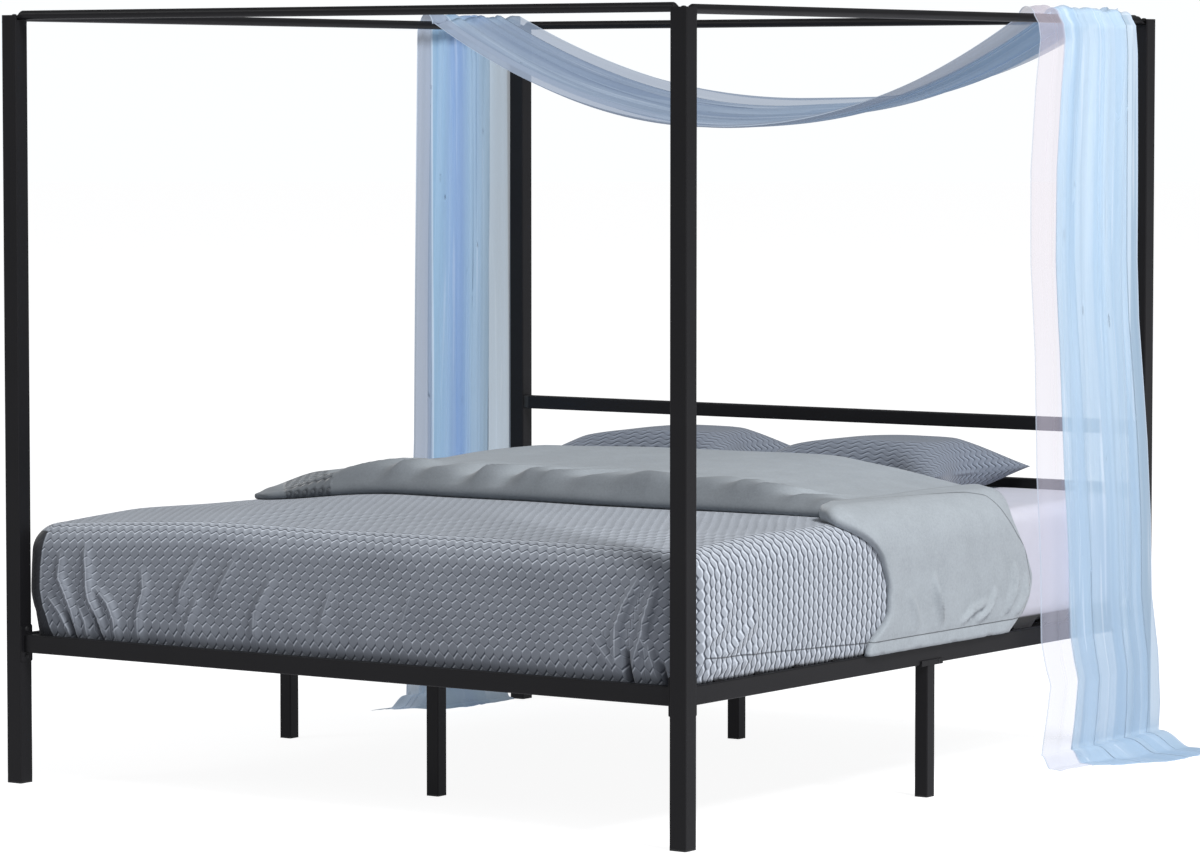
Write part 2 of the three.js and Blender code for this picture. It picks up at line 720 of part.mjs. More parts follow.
// A fall: over the rail, down outside it, and pooled on the floor; built on the right-hand side
function drapeFall({ side, top: atRail, floor: atFloor }) {
  const topY = atRail.map((place) => innerY + place);
  const floorY = atFloor.map((place) => innerY + place);
  const inner = tubeRadius + gap;
  const outer = inner + drapeThickness;
  const hook = new THREE.Shape();
  hook.moveTo(-outer, -hookDrop);
  hook.lineTo(-inner, -hookDrop);
  hook.lineTo(-inner, 0);
  hook.absarc(0, 0, inner, Math.PI, 0, true);
  hook.lineTo(inner, -2 * hookDrop);
  hook.lineTo(outer, -2 * hookDrop);
  hook.lineTo(outer, 0);
  hook.absarc(0, 0, outer, 0, Math.PI);
  const depth = topY[1] - topY[0];
  const over = new THREE.ExtrudeGeometry(hook, { depth, bevelEnabled: false, curveSegments: 8 });
  over.rotateX(Math.PI / 2).translate(postX, topY[1], canopyAxis);

  const near = outerX + fallOutside;
  const far = near + fallThickness;
  const top = canopyAxis - 2 * hookDrop;
  const hanging = new THREE.Shape();
  hanging.moveTo(topY[0], top);
  hanging.lineTo(floorY[0], gap);
  hanging.lineTo(floorY[1], gap);
  hanging.lineTo(topY[1], top);
  const join = box([postX + inner, topY[0], top - drapeThickness], [far, topY[1], top + 1]);

  const poolX = [outerX - poolUnder, outerX + poolOut];
  const poolY = [floorY[0], innerY + poolBack];
  const pool = new THREE.CylinderGeometry(0.42, 0.5, 1, 24);
  pool.rotateX(Math.PI / 2);
  pool.scale(poolX[1] - poolX[0], poolY[1] - poolY[0], poolHeight);
  pool.translate((poolX[0] + poolX[1]) / 2, (poolY[0] + poolY[1]) / 2, poolHeight / 2 + gap);
  let body = solid(over).add(solid(join));
  body = body.add(solid(facingX(hanging, near, far))).add(solid(pool));
  return geometryOf(side < 0 ? body.mirror([1, 0, 0]) : body);
}

// The swag: a gathered band that sags between the rails, wide where it leaves them
function drapeSwag() {
  const reach = postX - tubeRadius - gap - drapeThickness - gap;
  const rings = [];
  for (let step = 0; step <= swagSteps; step++) {
    const along = (2 * step) / swagSteps - 1;
    const spread = along * along;
    const x = along * reach;
    const [front, back] = [0, 1].map((i) => (
      innerY + THREE.MathUtils.mapLinear(along, -1, 1, falls.left.top[i], falls.right.top[i])
    ));
    const middleY = (front + back) / 2;
    const endWidth = back - front;
    const halfWidth = THREE.MathUtils.lerp(swagWidth, endWidth, spread * spread) / 2;
    const halfHeight = THREE.MathUtils.lerp(swagHeight, swagEndHeight, spread) / 2;
    const middleZ = canopyAxis - swagEndHeight / 2 - swagSag * (1 - spread);
    const ring = [];
    for (let i = 0; i < 8; i++) {
      const angle = (2 * Math.PI * (i + 0.5)) / 8;
      ring.push([x, middleY + halfWidth * Math.cos(angle), middleZ + halfHeight * Math.sin(angle)]);
    }
    rings.push(ring);
  }
  return skin(rings);
}

addMesh(drape, "drape_fall_left", drapeFall(falls.left), drapeBlue);
addMesh(drape, "drape_swag", drapeSwag(), drapeBlue);
addMesh(drape, "drape_fall_right", drapeFall(falls.right), drapeBlue);

export default bed;
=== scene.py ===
"""Four poster canopy bed: a black steel frame for a king mattress, with a quilted coverlet, a second one
turned back over it, pillows and a voile scarf. The frame comes from CAD; the soft goods are made here."""
from math import cos, pi, radians, sin, sqrt

import bpy
import numpy as np
from mathutils import Matrix, Vector, noise


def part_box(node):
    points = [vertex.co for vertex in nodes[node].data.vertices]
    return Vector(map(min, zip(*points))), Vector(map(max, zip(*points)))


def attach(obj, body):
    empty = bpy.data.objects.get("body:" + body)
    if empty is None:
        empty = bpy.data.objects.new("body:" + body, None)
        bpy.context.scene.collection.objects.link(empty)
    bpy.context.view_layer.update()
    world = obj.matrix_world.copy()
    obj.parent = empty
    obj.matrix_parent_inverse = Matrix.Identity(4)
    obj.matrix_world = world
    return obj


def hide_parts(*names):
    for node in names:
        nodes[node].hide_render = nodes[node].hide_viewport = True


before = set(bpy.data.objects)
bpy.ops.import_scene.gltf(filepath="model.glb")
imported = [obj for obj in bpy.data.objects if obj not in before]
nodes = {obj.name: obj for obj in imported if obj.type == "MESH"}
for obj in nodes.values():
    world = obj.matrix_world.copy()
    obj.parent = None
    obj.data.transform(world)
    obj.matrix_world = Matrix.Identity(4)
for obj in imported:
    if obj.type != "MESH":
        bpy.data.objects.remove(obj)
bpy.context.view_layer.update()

# ----------------------------------------
# Camera, floor and lights: seen from beyond the right foot corner, a little above eye level, on a white
# studio floor, under one large soft light from the upper right and a weaker one that fills from the left.
# ----------------------------------------
CAMERA_PLACE = (7.0731, -10.1310, 1.6527)
CAMERA_DOWN, CAMERA_TURN = 3.76, 34.84  # degrees below level, and to the left of straight ahead

camera_data = bpy.data.cameras.new("camera")
camera_data.sensor_width = 36.0
camera_data.lens = 150.12
camera_data.clip_end = 100.0
camera = bpy.data.objects.new("camera", camera_data)
camera.location = CAMERA_PLACE
camera.rotation_euler = (radians(90 - CAMERA_DOWN), 0.0, radians(CAMERA_TURN))
bpy.context.scene.collection.objects.link(camera)
bpy.context.scene.camera = camera
bpy.context.scene.view_settings.view_transform = "Standard"
bpy.context.scene.cycles.transparent_max_bounces = 64  # many layers of voile lie behind each other


def deselect():
    """Every object left alone, so that the next operator acts on its own piece."""
    if bpy.context.object and bpy.context.object.mode != "OBJECT":
        bpy.ops.object.mode_set(mode="OBJECT")
    bpy.ops.object.select_all(action="DESELECT")


class Socket:
    """One output of a shader node; arithmetic on it adds Math nodes."""

    def __init__(self, tree, output):
        self.tree, self.output = tree, output

    def make(self, kind, inputs=None, out=0, **settings):
        """A node of a kind, with its settings made first and then the values or links of its inputs."""
        node = self.tree.nodes.new(kind)
        for name, value in settings.items():
            setattr(node, name, value)
        for name, value in (inputs or {}).items():
            if isinstance(value, Socket):
                self.tree.links.new(value.output, node.inputs[name])
            else:
                node.inputs[name].default_value = value
        return Socket(self.tree, node.outputs[out])

    def maths(self, operation, *others):
        return self.make("ShaderNodeMath", dict(enumerate((self, *others))), operation=operation)

    def __add__(self, other):
        return self.maths("ADD", other)

    def __sub__(self, other):
        return self.maths("SUBTRACT", other)

    def __rsub__(self, other):
        return self.make("ShaderNodeMath", {0: other, 1: self}, operation="SUBTRACT")

    def __mul__(self, other):
        return self.maths("MULTIPLY", other)

    def __truediv__(self, other):
        return self.maths("DIVIDE", other)

    def __pow__(self, other):
        return self.maths("POWER", other)

    __radd__, __rmul__ = __add__, __mul__

    def clamped(self):
        """This value, held between 0 and 1."""
        return self.maths("MAXIMUM", 0.0).maths("MINIMUM", 1.0)

    def between(self, low, high):
        """How far this value is on its way from one to another, 0 to 1."""
        return self.make("ShaderNodeMapRange", {"Value": self, "From Min": low, "From Max": high})

    def mix(self, dark, light):
        """A colour between two, by this value."""
        ends = [end if isinstance(end, Socket) else (*end, 1.0) for end in (dark, light)]
        inputs = {0: self, 6: ends[0], 7: ends[1]}
        return self.make("ShaderNodeMix", inputs, 2, data_type="RGBA", clamp_factor=True)

    def ramp(self, *stops):
        """This value read through a ramp of greys or colours."""
        read = self.make("ShaderNodeValToRGB", {0: self})
        elements = read.output.node.color_ramp.elements
        while len(elements) < len(stops):
            elements.new(0.5)
        for element, (place, colour) in zip(elements, stops):
            element.position = place
            element.color = (*colour, 1.0) if isinstance(colour, tuple) else (colour, colour, colour, 1.0)
        return read

    def noise(self, scale, detail, roughness=0.5):
        """Soft noise over these coordinates."""
        inputs = {"Vector": self, "Scale": scale, "Detail": detail, "Roughness": roughness}
        return self.make("ShaderNodeTexNoise", inputs)

    def bump(self, strength, distance):
        """A surface normal that this value raises."""
        return self.make("ShaderNodeBump", {"Strength": strength, "Distance": distance, "Height": self})

    def parts(self):
        """The X, Y and Z of these coordinates."""
        apart = self.make("ShaderNodeSeparateXYZ", {0: self}).output.node
        return [Socket(self.tree, output) for output in apart.outputs]

    def told(self, name):
        """A value that the piece's vertices hold under a name."""
        return self.make("ShaderNodeAttribute", out=2, attribute_name=name)


def new_material(name, source="Object"):
    """A material with an empty Principled shader; gives the material, its shader and its coordinates."""
    material = bpy.data.materials.new(name)
    material.use_nodes = True
    tree = material.node_tree
    coordinates = tree.nodes.new("ShaderNodeTexCoord")
    return material, tree.nodes["Principled BSDF"], Socket(tree, coordinates.outputs[source])


def connect(shader, **inputs):
    """Values or sockets put onto a shader, whose sockets' names are given with underscores for spaces."""
    for name, value in inputs.items():
        socket = shader.inputs[name.replace("_", " ")]
        if isinstance(value, Socket):
            shader.id_data.links.new(value.output, socket)
        else:
            socket.default_value = value


deselect()
bpy.ops.mesh.primitive_plane_add(size=400.0, location=(0.0, 0.0, -0.001))
floor = bpy.context.object
floor.name = "studio_floor"
floor_paint, shader, place = new_material("studio floor")
looked_at = place.make("ShaderNodeLightPath")
connect(
    shader,
    Base_Color=(0.30, 0.30, 0.31, 1.0),
    Roughness=0.9,
    Specular_IOR_Level=0.05,
    Emission_Color=looked_at.mix((0.50, 0.50, 0.53), (0.93, 0.93, 0.93)),
    Emission_Strength=1.0,
)
floor.data.materials.append(floor_paint)

# white to the eye, but a dimmer grey as a light
world = bpy.data.worlds.new("studio")
world.use_nodes = True
background = world.node_tree.nodes["Background"]
looked_at = Socket(world.node_tree, background.outputs[0]).make("ShaderNodeLightPath")
connect(background, Strength=0.20 + 0.82 * looked_at, Color=(0.97, 0.985, 1.0, 1.0))
bpy.context.scene.world = world

for name, size, power, place, aim in (
    ("key_light", 6.0, 5100.0, (14.0, -4.4, 15.0), (0.0, 0.0, 0.5)),
    ("fill_light", 3.0, 98.0, (-5.0, -6.0, 5.5), (0.0, 0.0, 0.6)),
):
    lamp = bpy.data.lights.new(name, "AREA")
    lamp.shape = "SQUARE"
    lamp.size = size
    lamp.energy = power
    light = bpy.data.objects.new(name, lamp)
    light.location = place
    light.rotation_euler = (Vector(aim) - Vector(place)).to_track_quat("-Z", "Y").to_euler()
    bpy.context.scene.collection.objects.link(light)

# ----------------------------------------
# Steel frame: posts, rails, headboard bars, slats, beam and legs, cut from steel tube and channel, bolted
# together, and powder coated satin black, with the fine orange-peel of such a coat.
# ----------------------------------------
def put_on(material, names):
    """A material put on CAD nodes in place of their own."""
    for name in names:
        nodes[name].data.materials.clear()
        nodes[name].data.materials.append(material)


powder_coat, shader, place = new_material("black powder coat")
peel = place.noise(900.0, 2.0)
cloud = place.noise(7.0, 3.0)
connect(
    shader,
    Base_Color=cloud.mix((0.0058, 0.0057, 0.0066), (0.0088, 0.0086, 0.0098)),
    Roughness=0.36 + 0.10 * peel,
    Specular_IOR_Level=0.22,
    Normal=peel.bump(0.12, 0.0002),
)
coated = (
    "post_foot", "post_head", "headboard_bar", "slat", "centre_beam", "side_rail", "foot_rail", "head_rail",
)
put_on(powder_coat, [name for name in nodes if name.startswith(coated)])
put_on(powder_coat, [name for name in nodes if name.startswith("leg_") and "glide" not in name])

# ----------------------------------------
# Plastic parts: the glides under posts and legs, the blocks in the post tops and the headboard brackets, all
# moulded in black nylon with a fine spark-eroded grain. Bolts: black oxide steel.
# ----------------------------------------
black_nylon, shader, place = new_material("black nylon")
grain = place.noise(1800.0, 1.0)
connect(
    shader,
    Base_Color=grain.mix((0.009, 0.009, 0.0095), (0.013, 0.013, 0.0135)),
    Roughness=0.55 + 0.1 * grain,
    Normal=grain.bump(0.2, 0.0002),
)
moulded = ("glide", "cap_block", "bracket")
put_on(black_nylon, [name for name in nodes if any(word in name for word in moulded)])

black_oxide, shader, place = new_material("black oxide steel")
smudge = place.noise(160.0, 4.0)
connect(
    shader,
    Base_Color=smudge.mix((0.010, 0.010, 0.011), (0.022, 0.022, 0.024)),
    Roughness=0.45 + 0.2 * smudge,
    Metallic=0.4,
)
put_on(black_oxide, [name for name in nodes if "cap_bolt" in name])

# ----------------------------------------
# Canopy rails: round steel tube, each end pressed flat in a die and punched for the bolt in the post top. The
# side rails' tabs lie underneath and stay flat a little further, because the other rails' tabs cross on them.
# ----------------------------------------
TUBE_RADIUS = 0.011
TAB_THICKNESS = 0.0034  # of the flattened tube
TAB_HALF_WIDTH = 0.016
TAB_END = 0.012  # from the bolt to the tab's end
CRIMP = 0.018  # length over which the tube goes flat
CRIMP_RINGS = 6


def step_along(axis, reach):
    """A step along an axis."""
    step = [0.0, 0.0, 0.0]
    step[axis] = reach
    return step


def canopy_rail(node, axis, flat):
    """A tube along an axis, in place of a CAD rail, with each end drawn down to a flat tab."""
    low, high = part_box(node)
    middle = (low + high) / 2
    middle[2] = low[2] + TUBE_RADIUS
    straight = (high - low)[axis] / 2 - TAB_END - flat - CRIMP
    deselect()
    turn = (0.0, pi / 2, 0.0) if axis == 0 else (pi / 2, 0.0, 0.0)
    bpy.ops.mesh.primitive_cylinder_add(
        vertices=40,
        radius=TUBE_RADIUS,
        depth=2 * straight,
        end_fill_type="NOTHING",
        location=middle,
        rotation=turn,
    )
    rail = bpy.context.object
    rail.name = node + "_tube"
    bpy.ops.object.transform_apply(location=True, rotation=True, scale=True)
    for side in (-1, 1):
        bpy.ops.object.mode_set(mode="EDIT")
        bpy.ops.mesh.select_mode(type="VERT")
        bpy.ops.mesh.select_all(action="DESELECT")
        bpy.ops.object.mode_set(mode="OBJECT")
        for vertex in rail.data.vertices:
            vertex.select = side * (vertex.co[axis] - middle[axis]) > straight - 0.0005
        bpy.ops.object.mode_set(mode="EDIT")
        width = height = 1.0
        for ring in range(1, CRIMP_RINGS + 1):
            share = ring / CRIMP_RINGS
            eased = share * share * (3 - 2 * share)
            new_width = 1 + eased * (TAB_HALF_WIDTH / TUBE_RADIUS - 1)
            new_height = 1 + eased * (TAB_THICKNESS / 2 / TUBE_RADIUS - 1)
            step = step_along(axis, side * CRIMP / CRIMP_RINGS)
            bpy.ops.mesh.extrude_edges_move(TRANSFORM_OT_translate={"value": step})
            size = [1.0, 1.0, new_height / height]
            size[1 - axis] = new_width / width
            bpy.ops.transform.resize(value=size, center_override=(middle[0], middle[1], low[2]))
            width, height = new_width, new_height
        for reach in (flat, TAB_END):
            bpy.ops.mesh.extrude_edges_move(TRANSFORM_OT_translate={"value": step_along(axis, side * reach)})
        bpy.ops.mesh.edge_face_add()
        bpy.ops.object.mode_set(mode="OBJECT")
    bpy.ops.object.mode_set(mode="EDIT")
    bpy.ops.mesh.select_all(action="SELECT")
    bpy.ops.mesh.normals_make_consistent(inside=False)
    bpy.ops.object.mode_set(mode="OBJECT")
    bpy.ops.object.shade_smooth_by_angle(angle=radians(50))
    rail.data.materials.append(powder_coat)
    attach(rail, "root")
    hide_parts(node)


canopy_rail("canopy_rail_foot", 0, 0.009)
canopy_rail("canopy_rail_head", 0, 0.009)
canopy_rail("canopy_rail_left", 1, 0.0166)
canopy_rail("canopy_rail_right", 1, 0.0166)

# ----------------------------------------
# Bolts and screws: button heads with a hexagon socket, in black oxide steel. Two M6 bolts hold each bed
# rail's end plate to its post. Screws hold the slats' ends to the side rails, and the saddle of each leg.
# ----------------------------------------
def choose_faces(piece, chosen):
    """Edit mode, with only the faces selected for which a test holds."""
    bpy.ops.object.mode_set(mode="EDIT")
    bpy.ops.mesh.select_mode(type="FACE")
    bpy.ops.mesh.select_all(action="DESELECT")
    bpy.ops.object.mode_set(mode="OBJECT")
    for face in piece.data.polygons:
        face.select = chosen(face)
    bpy.ops.object.mode_set(mode="EDIT")


def button_head(name, radius, place, facing):
    """A domed head on a surface point, facing a way, with a hexagon socket sunk in it."""
    top = 0.6 * radius
    deselect()
    bpy.ops.mesh.primitive_cylinder_add(vertices=24, radius=radius, depth=top, location=(0, 0, 0.3 * radius))
    head = bpy.context.object
    head.name = name
    choose_faces(head, lambda face: face.normal.z > 0.9)
    bpy.ops.mesh.bevel(offset=0.32 * radius, segments=3, affect="EDGES")
    choose_faces(head, lambda face: face.normal.z > 0.99 and face.center.z > 0.9 * top)
    bpy.ops.mesh.inset(thickness=0.22 * radius)
    bpy.ops.mesh.extrude_region_move(TRANSFORM_OT_translate={"value": (0, 0, -0.35 * radius)})
    bpy.ops.object.mode_set(mode="OBJECT")
    bpy.ops.object.shade_smooth_by_angle(angle=radians(40))
    turn = Vector(facing).to_track_quat("Z", "Y").to_matrix().to_4x4()
    head.data.transform(Matrix.Translation(place) @ turn)
    head.data.materials.append(black_oxide)
    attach(head, "root")


BOLT_RADIUS, SLAT_SCREW_RADIUS, LEG_SCREW_RADIUS = 0.006, 0.0042, 0.0036
BOLT_SPREAD = 0.033  # of the two bolts from the end plate's middle
END_PLATE = 0.0031  # its thickness
LEG_SCREW_OFF, LEG_SCREW_DOWN = 0.03, 0.0055  # from the leg's middle along the bed, and from its top
for rail in ("foot_rail", "head_rail", "side_rail_left", "side_rail_right"):
    low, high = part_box(rail)
    axis = 1 if rail.startswith("side") else 0
    for end, end_name in ((-1, "near"), (1, "far")):
        for level, level_name in ((-1, "lower"), (1, "upper")):
            place = Vector((low + high) / 2)
            place[axis] = (high if end > 0 else low)[axis] - end * END_PLATE
            place[2] += level * BOLT_SPREAD
            button_head(f"{rail}_bolt_{end_name}_{level_name}", BOLT_RADIUS, place, step_along(axis, -end))
low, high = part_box("side_rail_right")
rail_middle = (low[0] + high[0]) / 2
SLAT_COUNT = 12
for number in range(1, SLAT_COUNT + 1):
    low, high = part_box(f"slat_{number:02d}")
    for side, side_name in ((-1, "left"), (1, "right")):
        place = (side * (rail_middle - 0.002), (low[1] + high[1]) / 2, high[2] + 0.0001)
        button_head(f"slat_screw_{number:02d}_{side_name}", SLAT_SCREW_RADIUS, place, (0, 0, 1))
both = (-1, 1)
for leg, sides in (("side_left", (-1,)), ("side_right", (1,)), ("centre_foot", both), ("centre_head", both)):
    low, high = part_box("leg_" + leg)
    for side in sides:
        middle = (low[1] + high[1]) / 2
        place = ((high if side > 0 else low)[0], middle + LEG_SCREW_OFF, high[2] - LEG_SCREW_DOWN)
        side_name = "inner" if side < 0 else "outer"
        button_head(f"leg_screw_{leg}_{side_name}", LEG_SCREW_RADIUS, place, (side, 0, 0))

# ----------------------------------------
# Mattress: a 30 cm foam mattress in a white cotton fitted sheet, whose elastic draws it in under the lower
# edge, so that it has soft upright puckers there and lies smooth on top. It lies loose on the slats.
# ----------------------------------------
def smooth(low, high, value):
    """0 at one value and before it, 1 at another and past it, eased between."""
    share = np.clip((value - low) / (high - low), 0.0, 1.0)
    return share * share * (3 - 2 * share)


def wander(points, scale, seed):
    """Soft noise at points, from -1 to 1."""
    offset = Vector((seed * 3.1, seed * 1.7, seed * 0.9))
    return np.array([noise.noise(Vector(p) * scale + offset) for p in points])


def read_vertices(piece, what="co"):
    """The places of a piece's vertices, or their normals, as an array."""
    flat = np.empty(len(piece.data.vertices) * 3)
    piece.data.vertices.foreach_get(what, flat)
    return flat.reshape(-1, 3)


def place_vertices(piece, points):
    piece.data.vertices.foreach_set("co", np.ascontiguousarray(points).ravel())
    piece.data.update()


def settled(points):
    """How far the top of the bed lies lower, towards the foot and the left side, than at its middle."""
    lower = smooth(-0.60, -1.03, points[:, 1]) * 0.016 + smooth(-0.40, -0.97, points[:, 0]) * 0.036
    lower -= smooth(-0.50, -0.90, points[:, 0]) * smooth(-0.28, -0.70, points[:, 1]) * 0.009
    return lower * smooth(0.40, 0.62, points[:, 2])


def drawn_in(points):
    """How far the left foot corner is drawn in over its lower part, where the coverlet is tucked tightly."""
    corner = smooth(-0.87, -0.97, points[:, 0]) * smooth(-0.60, -0.95, points[:, 1])
    return 0.022 * corner * smooth(0.47, 0.375, points[:, 2])


slat_boxes = [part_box(f"slat_{number:02d}") for number in range(1, SLAT_COUNT + 1)]
slat_places = np.array([(box[0][1] + box[1][1]) / 2 for box in slat_boxes])
slat_top = slat_boxes[0][1][2]


def off_slats(points):
    """How far points are from the middle of the nearest slat, along the bed."""
    return np.abs(points[:, 1, None] - slat_places).min(axis=1)


cotton, shader, place = new_material("white cotton sheet")
weave = place.noise(1400.0, 1.0)
crumple = place.noise(9.0, 4.0, 0.6)
# painted shade: the sheet's lowest few millimetres are painted near black, as in the dark behind the rails
low_edge_shade = place.parts()[2].between(0.391, 0.386)  # in the dark behind the rails
connect(
    shader,
    Base_Color=low_edge_shade.mix(crumple.mix((0.46, 0.46, 0.52), (0.55, 0.55, 0.62)), (0.006, 0.006, 0.008)),
    Roughness=0.85,
    Specular_IOR_Level=0.2,
    Sheen_Weight=0.2,
    Sheen_Roughness=0.5,
    Normal=(0.92 * crumple + 0.08 * weave).bump(0.35, 0.004),
)

MATTRESS_EDGE = 0.045  # radius of its edges
BESIDE_SLAT = (-0.0225, -0.0184, 0.0184, 0.0225)  # cuts, so that the underside can sag between the slats
mattress_low, mattress_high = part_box("mattress")
mattress_size = mattress_high - mattress_low
deselect()
bpy.ops.mesh.primitive_cube_add(size=1.0, location=(mattress_low + mattress_high) / 2, scale=mattress_size)
mattress = bpy.context.object
mattress.name = "mattress_in_fitted_sheet"
bpy.ops.object.transform_apply(location=True, rotation=True, scale=True)
bpy.ops.object.mode_set(mode="EDIT")
bpy.ops.mesh.bevel(offset=MATTRESS_EDGE, segments=5, affect="EDGES", profile=0.5)
for axis, count in ((0, 40), (1, 44), (2, 9)):
    inner = mattress_size[axis] - 2 * MATTRESS_EDGE
    spots = [mattress_low[axis] + MATTRESS_EDGE + inner * cut / count for cut in range(1, count)]
    if axis == 1:
        spots += [slat + off for slat in slat_places for off in BESIDE_SLAT]
    for spot in spots:
        place_at = Vector(mattress_low)
        place_at[axis] = spot
        bpy.ops.mesh.select_all(action="SELECT")
        bpy.ops.mesh.bisect(plane_co=place_at, plane_no=step_along(axis, 1.0))
bpy.ops.object.mode_set(mode="OBJECT")
points = read_vertices(mattress)
outward = read_vertices(mattress, "normal")
height = (points[:, 2] - mattress_low[2]) / mattress_size[2]
upright = 1 - np.abs(outward[:, 2])
pucker = wander(points * (1.0, 1.0, 0.12), 14.0, 3) * smooth(0.55, 0.05, height) * upright
dimple = wander(points, 3.0, 5)
points += outward * (0.0045 * pucker - 0.0045 + 0.0025 * dimple)[:, None]
points[:, 2] -= settled(points)
sagged = smooth(0.0186, 0.0220, off_slats(points)) * smooth(0.78, 0.86, np.abs(points[:, 0]))
points[:, 2] -= 0.018 * sagged * smooth(0.03, 0.0, height)  # between the slats, at the sides
points[:, 0] += drawn_in(points)
place_vertices(mattress, points)
bpy.ops.object.shade_smooth()
mattress.data.materials.append(cotton)
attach(mattress, "root")
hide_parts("mattress")

# ----------------------------------------
# Quilted coverlet: two brushed microfibre skins over a thin wadding, stitched through in wavy lines that lie
# in mirrored pairs. It is laid over the mattress and tucked in at the foot and both sides, so that its
# corners are pleated and the cloth there is drawn into creases.
# ----------------------------------------
STITCH_ROW = 0.0212  # between wavy lines
STITCH_WAVE = 0.0258  # length of a wave
# painted shade: the colour put into the depth of a fold
NEAR_BLACK = (0.006, 0.006, 0.008)  # in the depth of a fold


def stitching(cut, row, wave):
    """The angles of the waves along the cut cloth and of the stitch rows across it, which drift a little."""
    along_rows, across = cut.parts()[:2]
    drift = cut.noise(9.0, 2.0)
    return 2 * pi / wave * along_rows + 1.2 * drift, pi / row * across + 0.5 * drift


def wavy_quilting(cut, row=STITCH_ROW, wave=STITCH_WAVE, curve=0.30, mirrored=True, angular=0.0):
    """How far the cloth stands off its wavy stitch lines, 0 to 1; the lines run along U."""
    in_wave, in_row = stitching(cut, row, wave)
    waves = in_wave.maths("SINE")
    waves = waves + angular * (2 / pi * (0.98 * waves).maths("ARCSINE") - waves)
    if mirrored:
        away = in_row.maths("COSINE") + curve * waves
    else:
        away = (in_row + 1.6 * curve * waves).maths("COSINE")
    return (away.maths("ABSOLUTE") * (1.3 + 1.3 * angular)).maths("MINIMUM", 1.0) ** 0.75


def slopes_lit(cut, *shape):
    """The quilting's slopes as painted light and shade for the colour: above 0 where they face away from the
    foot and to the left, as if lit from there, else below 0.
    """
    beside = cut.make("ShaderNodeVectorMath", {0: cut, 1: (-0.0020, 0.0019, 0.0)}, operation="ADD")
    return wavy_quilting(cut, *shape) - wavy_quilting(beside, *shape)


def near(way, width, past=0.0):
    """1 on a line that lies past a distance, down to 0 a width away from it."""
    return (1.0 - (way - past).maths("ABSOLUTE") / width).maths("MAXIMUM", 0.0)


def quilted_microfibre(
    name, dark, light, row=STITCH_ROW, wave=STITCH_WAVE, curve=0.72, mirrored=True, relief=0.75
):
    """Brushed microfibre, quilted in wavy lines, flatter where the cloth is "pulled", with slanting ribs of
    painted light and shade on its "top". The slopes of the quilting get painted light and shade, and the top
    and sides are painted lighter than the foot face. "fold" and "corner" are painted dark as shade, with a
    painted highlight on the corner's edge; "hem", "crease" and "pleat" tell how far off such lines are, and
    creases get a painted highlight and shade."""
    material, shader, cut = new_material(name, "UV")
    fold, hem_way, crease_way, creased, pleat_way, corner_way, pulled, top = [
        cut.told(told) for told in ("fold", "hem", "crease", "creased", "pleat", "corner", "pulled", "top")
    ]
    shape = (row, wave, curve, mirrored)
    if mirrored:
        shape = (row, wave, curve - 0.42 * pulled, mirrored, 1 - pulled)
    puff = wavy_quilting(cut, *shape)
    # painted light and shade of the quilting's slopes, put into its colour
    lit = slopes_lit(cut, *shape)
    nap = cut.noise(700.0, 3.0)
    shade = cut.noise(5.0, 3.0)
    if mirrored:
        along_rows, across = cut.parts()[:2]
        ribs = (2 * pi / wave * along_rows + pi / row * across + 5.0 * shade).maths("SINE")
        # the hem line is dark; painted shade in the pleats and in the fold at the left foot corner
        fold = fold.maths("MAXIMUM", 0.75 * near(hem_way, 0.0030))
        fold = fold.maths("MAXIMUM", (1.5 * near(pleat_way, 0.0050)).maths("MINIMUM", 1.0))
        fold = fold.maths("MAXIMUM", 0.90 * (corner_way / 0.0016).clamped())
        in_wave, in_row = stitching(cut, row, wave)
        rising = (0.5 + 1.3 * (in_wave.maths("COSINE") * in_row.maths("SINE"))).clamped()
        lit = lit * (1.25 - 0.25 * pulled - 0.60 * (1.0 - pulled) * (1.0 - rising))
        uneven = 0.15 + 0.20 * pulled + (1.7 - 0.4 * pulled) * cut.noise(48.0, 3.0)
        lit = lit * uneven * (1 - 0.75 * creased * near(crease_way, 0.032))
        # painted highlight and shade: a bright line along each crease with a darker band beside it, and a
        # bright line along the edge of the corner's dark fold
        ridge = 0.50 * near(crease_way, 0.0024, 0.0008) + 0.10 * near(crease_way, 0.010, 0.008)
        ridge = creased * (ridge - 0.17 * near(crease_way, 0.013, -0.012))
        ridge = ridge + 0.22 * near(corner_way, 0.0035, -0.003)
        # painted light: the top and sides lighter than the foot face, and slanting ribs of painted light and
        # shade on the top
        tone = 0.13 + 0.10 * pulled + 0.05 * top + 0.13 * pulled * puff + ridge + 0.10 * top * (ribs + shade)
    else:
        tone = 0.30 + 0.13 * puff
    tone = tone + (relief + 1.80 * pulled) * lit + 0.12 * shade + 0.16 * nap
    tone = tone.maths("MAXIMUM", 0.0) * (1 - 0.96 * fold)
    connect(
        shader,
        Base_Color=(0.85 * fold).mix(tone.mix(dark, light), NEAR_BLACK),
        Roughness=0.82 + 0.1 * nap,
        Specular_IOR_Level=0.18,
        Sheen_Weight=0.25,
        Sheen_Roughness=0.45,
        Normal=((0.15 + 0.85 * pulled) * puff + 0.06 * nap).bump(1.0, 0.0013),
    )
    return material


quilt_cloth = quilted_microfibre("wave quilted microfibre", (0.07, 0.08, 0.10), (0.53, 0.575, 0.645))


